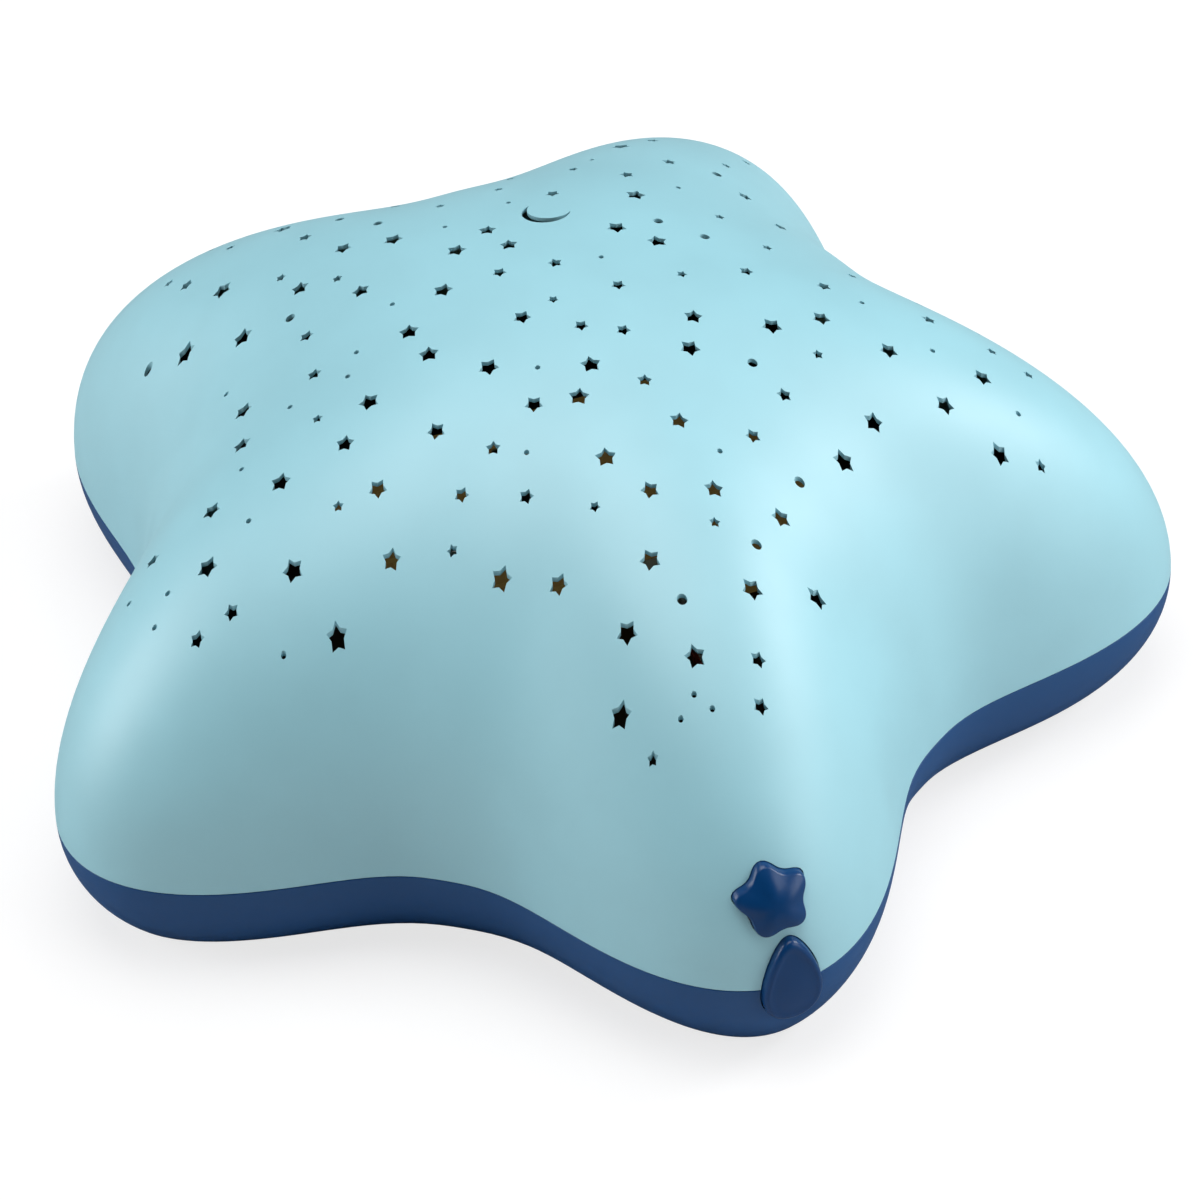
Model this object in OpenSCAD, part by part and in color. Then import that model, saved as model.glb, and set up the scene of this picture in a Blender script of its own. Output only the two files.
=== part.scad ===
// Star night light projector: a pierced star dome on a shallow base, lit from the middle.
// Millimetres, +Z up. The feet stand on z = 0, the front arm with the buttons points to -Y.

/* [Star shell] */
// Distance from the centre to the tip of an arm, at the seam
arm_reach = 110; // [95:1:125]
// Distance from the centre to the outline between two arms, at the seam
waist_radius = 78.5; // [68:0.5:86]
// How pointed the arms are in plan: higher is narrower
arm_sharpness = 1.2; // [1:0.05:1.6]
// How much narrower the arms get from the seam to the top
arm_narrowing = 0.6; // [0:0.1:1]
// Height of the top of the dome over the table
top_height = 92; // [80:1:105]
// How far an arm's crest rises straight up before it turns in
crest_rise = 36; // [25:1:45]
// How far the flat top reaches out along an arm's crest
crest_run = 52; // [40:1:60]
// How far the wall between two arms rises before it turns in
valley_rise = 45; // [35:1:52]
// How far the flat top reaches out between two arms
valley_run = 47; // [35:1:52]
// Wall of the dome
dome_wall = 1.6; // [1.4:0.1:2.4]

/* [Light holes] */
// Point radius of the large star holes
large_star = 1.75; // [1.4:0.05:2]
// Point radius of the middle star holes
middle_star = 1.45; // [1.1:0.05:1.7]
// Point radius of the small star holes
small_star = 1; // [0.8:0.05:1.3]
// Radius of the large dots
large_dot = 1; // [0.7:0.05:1.3]
// Radius of the small dots
small_dot = 0.55; // [0.4:0.05:0.8]
// Outer radius of the crescent moon hole
moon_radius = 4.4; // [3.5:0.1:5]

/* [Base] */
// Height of the seam between dome and base over the table
seam_height = 21; // [20:0.5:26]
// How far the base tapers in from the seam to its underside
base_taper = 8.75; // [5:0.25:10]
// Side wall of the base
base_wall = 2.2; // [1.8:0.1:2.8]
// Floor of the base
base_floor = 2.2; // [2:0.1:3]
// Thickness of the lip that centres the dome on the base
lip_wall = 1.2; // [1:0.1:1.6]
// Height of that lip over the seam
lip_height = 2.6; // [1.5:0.1:2.8]
// Gap between that lip and the dome
lip_gap = 0.15; // [0.1:0.05:0.3]
// Distance from the centre to the case screws, between the arms
screw_circle = 64; // [60:0.5:65]
// Diameter of a case screw column
column_d = 9; // [8.5:0.1:10]

/* [Feet] */
// Diameter of a rubber foot
foot_d = 12; // [8:0.5:14]
// How far a foot stands out under the base
foot_proud = 1; // [0.6:0.1:2]
// How deep a foot sits in its pocket
foot_seat = 1; // [0.6:0.1:1.2]
// Distance from the centre to a foot
foot_circle = 88; // [80:1:92]

/* [Light tray and boards] */
// Thickness of the black light tray
tray_t = 1.8; // [1.4:0.1:2.4]
// Gap between the light tray's edge and the base's lip
tray_gap = 1; // [0.6:0.1:2]
// Height of the main board's underside over the light tray
board_lift = 12.2; // [8:0.1:16]
// Length of the main board
board_l = 86; // [80:1:92]
// Width of the main board
board_w = 62; // [60:1:66]
// Thickness of both boards
board_t = 1.6; // [1.2:0.1:2]
// Diameter of a lamp
lamp_d = 5; // [3:0.5:5]
// Distance from the centre to each of the three lamps
lamp_circle = 4.2; // [3.9:0.1:5]
// Diameter of the collar round the lamps
collar_d = 17; // [16:0.5:20]

/* [Buttons] */
// Point radius of the star button
star_tip = 7.1; // [6:0.1:8]
// Waist radius of the star button
star_waist = 5.2; // [4.2:0.1:5.6]
// Width of the drop button
drop_w = 11.4; // [10:0.1:12]
// Height of the drop button
drop_h = 19; // [17:0.1:19.5]
// Height left between the star button's circle and the drop button
button_spacing = 0.6; // [0.4:0.1:2]
// How far the buttons stand out of the shell
button_proud = 1.8; // [1.2:0.1:2.6]
// Running gap round the buttons
button_gap = 0.25; // [0.15:0.05:0.4]
// Travel of the buttons
button_travel = 0.8; // [0.4:0.1:1]
// Length of the star button's stem behind its flange
star_stem_l = 1.7; // [1:0.1:3]

/* [Batteries] */
// Diameter of a cell
cell_d = 14.5; // [13.8:0.1:14.5]
// Length of a cell with its nub
cell_l = 50.5; // [49.5:0.1:50.5]
// Space left round each cell
cell_gap = 0.25; // [0.2:0.05:0.4]
// Length of a contact spring when a cell is in
spring_l = 4.6; // [3.5:0.1:6]
// Thickness of the battery door
door_t = 2; // [1.6:0.1:2.4]
// Gap round the battery door
door_gap = 0.25; // [0.15:0.05:0.4]

/* [Screws] */
// Shank diameter of the case screws
case_screw_d = 2.9; // [2.5:0.1:3]
// Shank diameter of the board and door screws
small_screw_d = 2.4; // [2:0.1:2.5]
// Radial gap between a shank and the hole it is driven into
thread_gap = 0.05; // [0.03:0.01:0.1]

/* [Hidden] */

arms = 5;
arm_step = 360 / arms;
front = -90;
around_outer = 100;
around_inner = 80;
rings_outer = 16;
rings_inner = 11;
nose_crowd = 0.3;
cap_off = 20;
// Turns a round column's own seam line away from the plane of symmetry that it stands on
seam_turn = 25;
cut = 1;

// Places that follow from the sizes above
base_z = foot_proud;
floor_top = base_z + base_floor;
tray_z = seam_height + 3;
tray_top = tray_z + tray_t;
board_z = tray_top + board_lift;
board_top = board_z + board_t;
lip_rebate = 0.3;
lip_inset = dome_wall - lip_rebate + lip_gap;
tray_inset = lip_inset + lip_wall + tray_gap;
case_hole_d = case_screw_d + 2 * thread_gap;
small_hole_d = small_screw_d + 2 * thread_gap;

// Chart of the light holes: [x, y] in hundredths of the arm reach
large_stars = [
    [-44, 42.5], [-52.5, 37.5], [-45, 27.5], [-18, 28.5], [-10.5, 18], [-16, 8.5], [-24, 2],
    [-34.5, -9], [-23, -5], [-51.5, -14.5], [-15.5, -12.5], [-4.5, -24], [-0.5, -18.5],
    [-54.5, -29], [-4.5, -36], [-51, -39], [-25.5, -45], [-4, -54], [-11, -62], [-15.5, -70.5],
    [-2.5, -69], [15.5, 13.5], [31, -16], [34, -39], [22.5, 24], [-66, -20], [10, -61],
    [20.5, 8], [16, -19], [29, 50], [-30, 53]
];
middle_stars = [
    [-29, 43], [-25.5, 32.5], [-34.5, 28], [-27, 18], [-2.5, 15], [-50.5, 9.5], [-4, 21.5],
    [-53.5, 0.5], [-62, -10], [-7, -4.5], [-40.5, -14.5], [-27, -20], [-11.5, -22.5],
    [-40, -34.5], [0, -43.5], [-18, -50.5], [10, -2.5], [32, -2], [19, -12.5], [40, -14.5],
    [49, -21], [64, -24], [6.5, -24], [55, -30], [41.5, -33], [62, -36], [10, -45],
    [19.5, -49], [21, -60], [10, 29.5], [24, 32.5], [33.5, 38.5], [-38.5, -24.5],
    [-71, -29], [-65, -29], [9, -32.5], [36, 54], [-12, 47], [-20, -27]
];
small_stars = [
    [-49, 59.5], [-38.5, 56.5], [-47.5, 53], [-7, 37.5], [-36, 34], [-29, 24.5], [-37.5, 15],
    [-6.5, 8], [-39.5, 4.5], [-42.5, -6.5], [-1, -2.5], [-72, -8], [-45, -24], [-27, -31.5],
    [-18, -36.5], [-31, -38], [-9, -43], [-13, -77.5], [34.5, 17], [39, 7], [2.5, 6.5],
    [52, 2.5], [21, -2], [44, -5.5], [1, -10], [60, -11], [7, -13], [69, -16], [74, -19.5],
    [36.5, -22], [28, -29], [20, -36], [69, -36.5], [8, -50.5], [7, -71], [5, -77],
    [3.5, 38.5], [17, 39.5], [45, 42.5], [43.5, 29.5], [46, 19.5], [44, 61], [52, 52],
    [-40, 64], [8, 46], [62, -2]
];
large_dots = [
    [-57.5, 44.5], [-18, 37], [-38, 22.5], [-1.5, -61], [29, 9], [25, -23], [25, -43],
    [13.5, -54], [23, 14.5], [41, 36], [-22, 46]
];
small_dots = [
    [-9.5, 27], [-51, 18], [-24, 10.5], [-32.5, 3.5], [-45, 0.5], [-35.5, -1], [-55.5, -6],
    [-77.5, -12], [-8.5, -16], [-72.5, -18.5], [-58, -17.5], [-76, -22], [-15.5, -30],
    [-59.5, -37.5], [-4.5, -73.5], [-7.5, -75.5], [-2.5, -76], [10, 5.5], [49, -9.5],
    [57, -20], [68, -29.5], [13.5, -38.5], [2.5, 30], [31, 27], [21.5, 43], [37, 64],
    [52, 60], [-33, 64], [70, -8], [14, 51], [-5, 52]
];
moon_place = [6.6, 22.9];

// ---- The star shell ----

// Point at share s of the way along a curve with four control points
function curve_at(s, p0, p1, p2, p3) =
    (1 - s)^3 * p0 + 3 * (1 - s)^2 * s * p1 + 3 * (1 - s) * s^2 * p2 + s^3 * p3;

// Side view of the dome along an arm's crest, and between two arms: [radius, height]
function crest(s) = curve_at(s, [arm_reach, seam_height],
    [arm_reach, seam_height + crest_rise], [crest_run, top_height], [0, top_height]);
function valley(s) = curve_at(s, [waist_radius, seam_height],
    [waist_radius, seam_height + valley_rise], [valley_run, top_height], [0, top_height]);

// 1 on the middle of an arm, 0 half way between two arms
function arm_share(angle, power) = ((1 + cos(arms * (angle - front))) / 2)^power;

// Point of the dome's outside at an angle, and at share s of the way from seam to top
function dome_point(angle, s) =
    let(share = arm_share(angle, arm_sharpness * (1 + arm_narrowing * s)))
    let(side = valley(s) + (crest(s) - valley(s)) * share)
    [side.x * cos(angle), side.x * sin(angle), side.y];

// Angle of the corner i of a ring of so many corners, closer together round the noses of the arms
function ring_angle(i, count) =
    let(even = 360 * i / count)
    even - nose_crowd * 180 / PI / arms * sin(arms * (even - front));

// Outward unit normal there
function dome_normal(angle, s) =
    let(across = dome_point(angle + 0.5, s) - dome_point(angle - 0.5, s))
    let(upward = dome_point(angle, s + 0.005) - dome_point(angle, s - 0.005))
    let(normal = cross(across, upward))
    normal / norm(normal);

// Outline of the star at the seam, moved in by an inset
function rim_radius(angle) =
    waist_radius + (arm_reach - waist_radius) * arm_share(angle, arm_sharpness);
function rim_raw(angle) = rim_radius(angle) * [cos(angle), sin(angle)];
function rim(angle, inset) =
    let(along = rim_raw(angle + 0.5) - rim_raw(angle - 0.5))
    rim_raw(angle) + inset * [-along.y, along.x] / norm(along);
function rim_ring(count, inset) = [for (i = [0:count - 1]) rim(ring_angle(i, count), inset)];
function lift(ring, z) = [for (p = ring) [p.x, p.y, z]];

// Pole of a flat cap. It stands off the centre, so that no seam line of the cap runs through a
// corner of a cavity or along a plane of symmetry
function flat_pole(z) = [cap_off, cap_off / 2, z];

// Closed solid through rings of equal length, from the lowest to the highest, capped to two poles
module skin(rings, low_pole, high_pole) {
    n = len(rings[0]);
    m = len(rings);
    points = concat([for (ring = rings) each ring], [low_pole, high_pole]);
    sides = [for (j = [0:m - 2], i = [0:n - 1])
        [j * n + i, (j + 1) * n + i, (j + 1) * n + (i + 1) % n, j * n + (i + 1) % n]];
    low = [for (i = [0:n - 1]) [i, (i + 1) % n, m * n]];
    high = [for (i = [0:n - 1]) [(m - 1) * n + (i + 1) % n, (m - 1) * n + i, m * n + 1]];
    polyhedron(points, concat(sides, low, high));
}

// The dome's outer form, or its cavity when it is set in by a wall
module dome_form(around, ring_count, wall) {
    below = wall > 0 ? [lift(rim_ring(around, wall), seam_height - cut)] : [];
    rings = [for (j = [0:ring_count - 1]) [for (i = [0:around - 1])
        let(angle = ring_angle(i, around), s = j / ring_count)
        dome_point(angle, s) - wall * dome_normal(angle, max(s, 0.006))]];
    low_z = wall > 0 ? seam_height - cut : seam_height;
    skin(concat(below, rings), flat_pole(low_z), [0, 0, top_height - wall]);
}

// The base's outer form, or its cavity, from its underside to the seam
module base_form(around, wall, low, high) {
    steps = [0, 0.25, 0.5, 0.75, 1];
    taper_h = seam_height - base_z;
    rings = [for (k = steps)
        let(z = low + (seam_height - low) * k, drop = (seam_height - z) / taper_h)
        lift(rim_ring(around, wall + base_taper * drop^2), z)];
    above = high > seam_height ? [lift(rim_ring(around, wall), high)] : [];
    skin(concat(rings, above), flat_pole(low), flat_pole(high));
}

// One copy half way between each two arms, or on each arm
module between_arms(radius) {
    for (i = [0:arms - 1])
        rotate(front + arm_step * (i + 0.5))
            translate([radius, 0, 0])
                children();
}
module on_arms(radius) {
    for (i = [0:arms - 1])
        rotate(front + arm_step * i)
            translate([radius, 0, 0])
                children();
}

// ---- Light holes ----

star_hollow = 0.5;
hole_low = board_z;
hole_h = top_height - hole_low + cut;
// The stars are turned at random by a rule on their places
turn_by_x = 7;
turn_by_y = 11;

// Five-point star outline
function star_points(radius, turn) =
    [for (i = [0:9]) let(r = i % 2 == 0 ? radius : radius * star_hollow)
        r * [cos(turn + 36 * i), sin(turn + 36 * i)]];

module place_hole(place)
    translate([place.x * arm_reach / 100, place.y * arm_reach / 100, hole_low])
        children();

module star_holes(places, radius) {
    for (place = places)
        place_hole(place)
            linear_extrude(hole_h)
                polygon(star_points(radius, turn_by_x * place.x + turn_by_y * place.y));
}

module dot_holes(places, radius) {
    for (place = places)
        place_hole(place)
            cylinder(h = hole_h, r = radius, $fn = 24);
}

module moon_hole() {
    bite = [0.24, 0.24] * moon_radius;
    place_hole(moon_place)
        linear_extrude(hole_h)
            difference() {
                circle(r = moon_radius, $fn = 48);
                translate(bite)
                    circle(r = 0.93 * moon_radius, $fn = 48);
            }
}

// ---- Buttons ----

// Reach of the front arm's outside by height, from the underside to the upper crest
front_profile = concat(
    [for (k = [0:0.1:0.9]) let(z = base_z + k * (seam_height - base_z))
        [z, arm_reach - base_taper * (1 - k)^2]],
    [for (s = [0:0.02:0.5]) [crest(s).y, crest(s).x]]);
// Radius of the round nose of an arm in plan
nose_radius = arm_reach^2
    / (arm_sharpness * arms^2 / 2 * (arm_reach - waist_radius) + arm_reach);
function shell_reach(x, z) = lookup(z, front_profile) - x^2 / (2 * nose_radius);

// The star lies on a slope, so its upright outline is squeezed to look regular there
star_lean = 0.89;
// The drop's middle is just over the seam
drop_height = seam_height + 0.6;
star_height = drop_height + drop_h / 2 + button_spacing + star_tip;
drop_narrowing = 0.2;
flange_t = 1.5;
flange_rim = 1.5;
stem_d = 4;
seat_gap = 0.4;
star_outline_n = 60;
drop_outline_n = 48;

// Upright outlines in the view from the front: x to the right, y up
function star_outline(grow) = [for (i = [0:star_outline_n - 1])
    let(a = 360 * i / star_outline_n)
    let(r = star_waist + (star_tip - star_waist) * (1 + cos(arms * (a - 180))) / 2 + grow)
    [r * cos(a), r * sin(a) * star_lean]];
function drop_outline(grow) = [for (i = [0:drop_outline_n - 1])
    let(a = 360 * i / drop_outline_n)
    [(drop_w / 2 * (1 - drop_narrowing * sin(a)) + grow) * cos(a), (drop_h / 2 + grow) * sin(a)]];

// Reach of the front arm's inside, behind a wall that is measured square to the shell
function inside_reach(x, z, wall) =
    let(across = shell_reach(x + 0.5, z) - shell_reach(x - 0.5, z))
    let(upward = shell_reach(x, z + 0.5) - shell_reach(x, z - 0.5))
    shell_reach(x, z) - wall * norm([1, across, upward]);
// A button's flange seats just behind the inside of the shell
function seat_reach(outline, z) =
    min([for (p = outline) inside_reach(p.x, z + p.y, max(dome_wall, base_wall))]) - seat_gap;
star_flange_r = star_tip + flange_rim;
star_seat_reach = seat_reach([for (a = [0:30:330]) star_flange_r * [cos(a), sin(a)]], star_height);
drop_seat_reach = seat_reach(drop_outline(flange_rim), drop_height);

// Runs an upright outline from one distance in front of the centre to another
module toward_front(from, to, z)
    translate([0, -from, z])
        rotate([90, 0, 0])
            linear_extrude(to - from)
                children();

module button_openings() {
    ahead = arm_reach + 2 * button_proud;
    toward_front(star_seat_reach - 2 * dome_wall, ahead, star_height)
        polygon(star_outline(button_gap));
    toward_front(drop_seat_reach - 2 * base_wall, ahead, drop_height)
        polygon(drop_outline(button_gap));
}

// Ring of a button's cap: its outline laid on the shell's own slope, stood out by a rise
function cap_ring(outline, z, rise) =
    [for (p = outline) [p.x, -shell_reach(p.x, z + p.y) - rise, z + p.y]];
function flat_ring(outline, z, reach) = [for (p = outline) [p.x, -reach, z + p.y]];
// The rim of the drop's face is the foremost point of the whole light
drop_rim_inset = 0.8;
function drop_face_ring() = cap_ring(drop_outline(-drop_rim_inset), drop_height, button_proud);

// The pieces are drawn about the star's own centre and stand with the middle of the whole
// light's length and width over the origin
front_y = min([for (p = drop_face_ring()) p.y]);
back_y = max([for (p = rim_ring(around_outer, 0)) p.y]);
module in_place()
    translate([0, -(front_y + back_y) / 2, 0])
        children();

case_hole_l = 13;
rebate_over = 0.4;

module dome() {
    color("#b5e2ec") in_place()
        difference() {
            dome_form(around_outer, rings_outer, 0);
            difference() {
                dome_form(around_inner, rings_inner, dome_wall);
                between_arms(screw_circle)
                    translate([0, 0, tray_top])
                        rotate(seam_turn)
                            cylinder(h = top_height, d = column_d - 1);
            }
            translate([0, 0, seam_height - cut])
                linear_extrude(lip_height + rebate_over + cut)
                    polygon(rim_ring(around_inner, dome_wall - lip_rebate));
            between_arms(screw_circle)
                translate([0, 0, tray_top - cut])
                    cylinder(h = case_hole_l + cut, d = case_hole_d);
            star_holes(large_stars, large_star);
            star_holes(middle_stars, middle_star);
            star_holes(small_stars, small_star);
            dot_holes(large_dots, large_dot);
            dot_holes(small_dots, small_dot);
            moon_hole();
            button_openings();
        }
}

// ---- Base ----

bay_wall = 1.8;
plate_t = 0.4;
bump_h = 0.5;
cells = 3;
cell_pitch = cell_d + 2 * cell_gap;
bay_w = cells * cell_pitch;
bay_l = cell_l + spring_l + 2 * plate_t + bump_h;
bay_low = base_z + door_t;
cell_z = bay_low + cell_gap + cell_d / 2;
bay_roof = cell_z + cell_d / 2 + cell_gap;
door_ledge = 2;
door_w = bay_w + 2 * door_ledge;
door_l = bay_l + 2 * door_ledge;
ear_r = 6;
ear_reach = door_l / 2 + 4.5;
pad_rim = 2.5;
pad_top = bay_low + 2;
boss_d = 8;
boss_top = 14;
slot_w = 3.4;
slot_t = 0.8;

case_head_z = 14;
case_head_d = 5.8;
case_head_h = 2.2;
case_screw_l = 20;
small_head_d = 4.4;
small_head_h = 1.2;
door_screw_l = 8;
board_screw_l = 7;

post_w = 5.5;
post_t = 5.2;
post_x = 11.5;
post_top = tray_top + 0.5;
button_screw_z = 17;
// The board carries the switches just behind the star button's stem
switch_side = 6;
switch_h = 3.5;
plunger_d = 3.5;
plunger_out = 1.5;
plunger_in = 1;
plunger_reach = star_seat_reach - flange_t - star_stem_l;
button_board_reach = plunger_reach - plunger_out - switch_h;
button_board_back = button_board_reach - board_t;

// Outline of the battery door with its two screw ears, grown by a gap
module door_outline(grow) {
    square([door_w + 2 * grow, door_l + 2 * grow], center = true);
    for (side = [-1, 1]) {
        translate([0, side * ear_reach])
            circle(r = ear_r + grow, $fn = 48);
        translate([0, side * ear_reach / 2])
            square([2 * (ear_r + grow), ear_reach], center = true);
    }
}

module base_lip() {
    difference() {
        translate([0, 0, seam_height - 4])
            linear_extrude(4)
                polygon(rim_ring(around_inner, base_wall - 0.4));
        translate([0, 0, seam_height - 4 - cut])
            linear_extrude(4 + 2 * cut)
                polygon(rim_ring(around_inner, lip_inset + lip_wall));
    }
    difference() {
        translate([0, 0, seam_height])
            linear_extrude(lip_height)
                polygon(rim_ring(around_inner, lip_inset));
        translate([0, 0, seam_height - cut])
            linear_extrude(lip_height + 2 * cut)
                polygon(rim_ring(around_inner, lip_inset + lip_wall));
    }
}

module battery_bay() {
    translate([0, 0, base_z])
        linear_extrude(pad_top - base_z)
            door_outline(door_gap + pad_rim);
    translate([-bay_w / 2 - bay_wall, -bay_l / 2 - bay_wall, bay_low])
        cube([bay_w + 2 * bay_wall, bay_l + 2 * bay_wall, bay_roof + bay_wall - bay_low]);
    for (side = [-1, 1])
        translate([0, side * ear_reach, bay_low])
            cylinder(h = boss_top - bay_low, d = boss_d);
}

module battery_bay_cuts() {
    translate([0, 0, base_z - cut])
        linear_extrude(door_t + cut)
            door_outline(door_gap);
    translate([-bay_w / 2, -bay_l / 2, base_z])
        cube([bay_w, bay_l, bay_roof - base_z]);
    for (side = [-1, 1]) {
        translate([0, side * ear_reach, base_z])
            cylinder(h = boss_top - base_z - 1, d = small_hole_d);
        translate([side * cell_pitch - slot_w / 2, side * (bay_l / 2 - slot_t / 2) - slot_t / 2,
                bay_roof - cut])
            cube([slot_w, slot_t, bay_wall + 2 * cut]);
    }
}

module button_posts() {
    for (side = [-1, 1])
        translate([side * post_x - post_w / 2, -button_board_back, floor_top - 0.5])
            cube([post_w, post_t, post_top - floor_top + 0.5]);
}

// Runs a round hole or shank inwards from the front, at both button board posts
module at_button_screws(reach)
    for (side = [-1, 1])
        translate([side * post_x, -reach, button_screw_z])
            rotate([-90, 0, 0])
                children();

module base_shell() {
    color("#2b4678") in_place()
        difference() {
            union() {
                difference() {
                    base_form(around_outer, 0, base_z, seam_height);
                    base_form(around_inner, base_wall, floor_top, seam_height + cut);
                }
                base_lip();
                battery_bay();
                button_posts();
                between_arms(screw_circle)
                    translate([0, 0, floor_top - 0.5])
                        cylinder(h = tray_z - floor_top + 0.5, d = column_d);
            }
            battery_bay_cuts();
            between_arms(screw_circle) {
                translate([0, 0, base_z - cut])
                    cylinder(h = case_head_z - base_z + cut, d = case_head_d + 0.8);
                translate([0, 0, base_z])
                    cylinder(h = tray_z, d = case_screw_d + 0.5);
            }
            on_arms(foot_circle)
                translate([0, 0, base_z - cut])
                    cylinder(h = foot_seat + cut, d = foot_d + 0.2);
            at_button_screws(button_board_back + cut)
                cylinder(h = post_t + 2 * cut, d = small_hole_d);
            button_openings();
        }
}

module rubber_feet() {
    edge = 0.5;
    h = foot_proud + foot_seat;
    color("#26282c") in_place()
        on_arms(foot_circle)
            rotate_extrude($fn = 48)
                polygon([[0, 0], [foot_d / 2 - edge, 0], [foot_d / 2, edge], [foot_d / 2, h],
                    [0, h]]);
}

module battery_door() {
    color("#2b4678") in_place()
        difference() {
            translate([0, 0, base_z])
                linear_extrude(door_t)
                    door_outline(0);
            for (side = [-1, 1])
                translate([0, side * ear_reach, base_z - cut]) {
                    cylinder(h = small_head_h + cut, d = small_head_d + 0.4);
                    cylinder(h = door_t + 2 * cut, d = small_hole_d);
                }
        }
}

// Pan head screw along +Z: the head's underside is at z = 0, the shank runs up from there
module screw(shank_d, shank_l, head_d, head_h) {
    tip = shank_d / 2;
    difference() {
        rotate_extrude($fn = 32)
            polygon([[0, -head_h], [head_d / 2 - head_h / 3, -head_h], [head_d / 2, -head_h / 2],
                [head_d / 2, 0], [shank_d / 2, 0], [shank_d / 2, shank_l - tip], [0, shank_l]]);
        for (turn = [0, 90])
            rotate(turn)
                translate([-head_d / 4, -head_d / 16, -head_h - cut])
                    cube([head_d / 2, head_d / 8, head_h / 2 + cut]);
    }
}

module case_screws() {
    color("#9aa0a6") in_place()
        between_arms(screw_circle)
            translate([0, 0, case_head_z])
                screw(case_screw_d, case_screw_l, case_head_d, case_head_h);
}

module door_screws() {
    color("#9aa0a6") in_place()
        for (side = [-1, 1])
            translate([0, side * ear_reach, base_z + small_head_h])
                screw(small_screw_d, door_screw_l, small_head_d, small_head_h);
}

// ---- Light tray and main board ----

baffle_h = 4;
board_post_d = 6;
board_post_inset = 5;
board_post_x = board_l / 2 - board_post_inset;
board_post_y = board_w / 2 - board_post_inset;
corner_cut = 6;
lead_d = 1.3;
lead_low = bay_roof + bay_wall + 1.5;
lead_reach = bay_l / 2 - plate_t / 2;
tray_front = button_board_back - post_t - 0.7;

module at_board_posts()
    for (x = [-1, 1], y = [-1, 1])
        translate([x * board_post_x, y * board_post_y, 0])
            children();

module at_leads()
    for (side = [-1, 1])
        translate([side * cell_pitch, side * lead_reach, 0])
            children();

module light_tray() {
    color("#17181a") in_place()
        difference() {
            union() {
                translate([0, 0, tray_z])
                    linear_extrude(tray_t)
                        polygon(rim_ring(around_inner, tray_inset));
                difference() {
                    translate([0, 0, tray_z])
                        linear_extrude(tray_t + baffle_h)
                            polygon(rim_ring(around_inner, tray_inset));
                    translate([0, 0, tray_z])
                        linear_extrude(tray_t + baffle_h + cut)
                            polygon(rim_ring(around_inner, tray_inset + lip_wall));
                }
                at_board_posts()
                    translate([0, 0, tray_z])
                        cylinder(h = board_z - tray_z, d = board_post_d);
            }
            translate([-arm_reach, -tray_front - arm_reach, tray_z - cut])
                cube([2 * arm_reach, arm_reach, tray_t + baffle_h + 2 * cut]);
            between_arms(screw_circle)
                translate([0, 0, tray_z - cut])
                    cylinder(h = tray_t + 2 * cut, d = case_screw_d + 0.5);
            at_board_posts()
                translate([0, 0, tray_top])
                    cylinder(h = board_z, d = small_hole_d);
            at_leads()
                translate([0, 0, tray_z - cut])
                    cylinder(h = tray_t + 2 * cut, d = lead_d + 2);
        }
}

lamps_count = 3;
lamp_leg_d = 0.5;
lamp_leg_gap = 2.54;
lamp_body = 6.1;
lamp_flange_d = lamp_d + 0.8;
collar_h = 5;

module at_lamps()
    for (i = [0:lamps_count - 1])
        rotate(front + 360 / lamps_count * i)
            translate([lamp_circle, 0, board_top])
                children();

module at_lamp_legs()
    at_lamps()
        for (side = [-1, 1])
            translate([0, side * lamp_leg_gap / 2, 0])
                children();

module main_board() {
    x = board_l / 2;
    y = board_w / 2;
    c = corner_cut;
    color("#5b4a2c") in_place()
        difference() {
            translate([0, 0, board_z])
                linear_extrude(board_t)
                    polygon([[-x + c, -y], [x - c, -y], [x, -y + c], [x, y - c],
                        [x - c, y], [-x + c, y], [-x, y - c], [-x, -y + c]]);
            at_board_posts()
                translate([0, 0, board_z - cut])
                    cylinder(h = board_t + 2 * cut, d = small_screw_d + 0.4);
            at_lamp_legs()
                translate([0, 0, -board_t - cut])
                    cylinder(h = board_t + 2 * cut, d = lamp_leg_d + 0.3, $fn = 16);
        }
}

module main_board_screws() {
    color("#9aa0a6") in_place()
        at_board_posts()
            translate([0, 0, board_top])
                rotate([180, 0, 0])
                    screw(small_screw_d, board_screw_l, small_head_d, small_head_h);
}

module lamp_collar() {
    color("#101113") in_place()
        difference() {
            translate([0, 0, board_top])
                cylinder(h = collar_h, d = collar_d);
            at_lamps() {
                translate([0, 0, -cut])
                    cylinder(h = collar_h + 2 * cut, d = lamp_d + 2 * thread_gap);
                translate([0, 0, -cut])
                    cylinder(h = 1 + cut + thread_gap, d = lamp_flange_d + 2 * thread_gap);
            }
        }
}

module lamps() {
    color("#f4f6f7") in_place() {
        at_lamps() {
            cylinder(h = 1, d = lamp_flange_d);
            cylinder(h = lamp_body, d = lamp_d);
            translate([0, 0, lamp_body])
                sphere(d = lamp_d, $fn = 32);
        }
        at_lamp_legs()
            translate([0, 0, -board_t - 1.5])
                cylinder(h = board_t + 1.5 + 0.5, d = lamp_leg_d, $fn = 16);
    }
}

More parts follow.
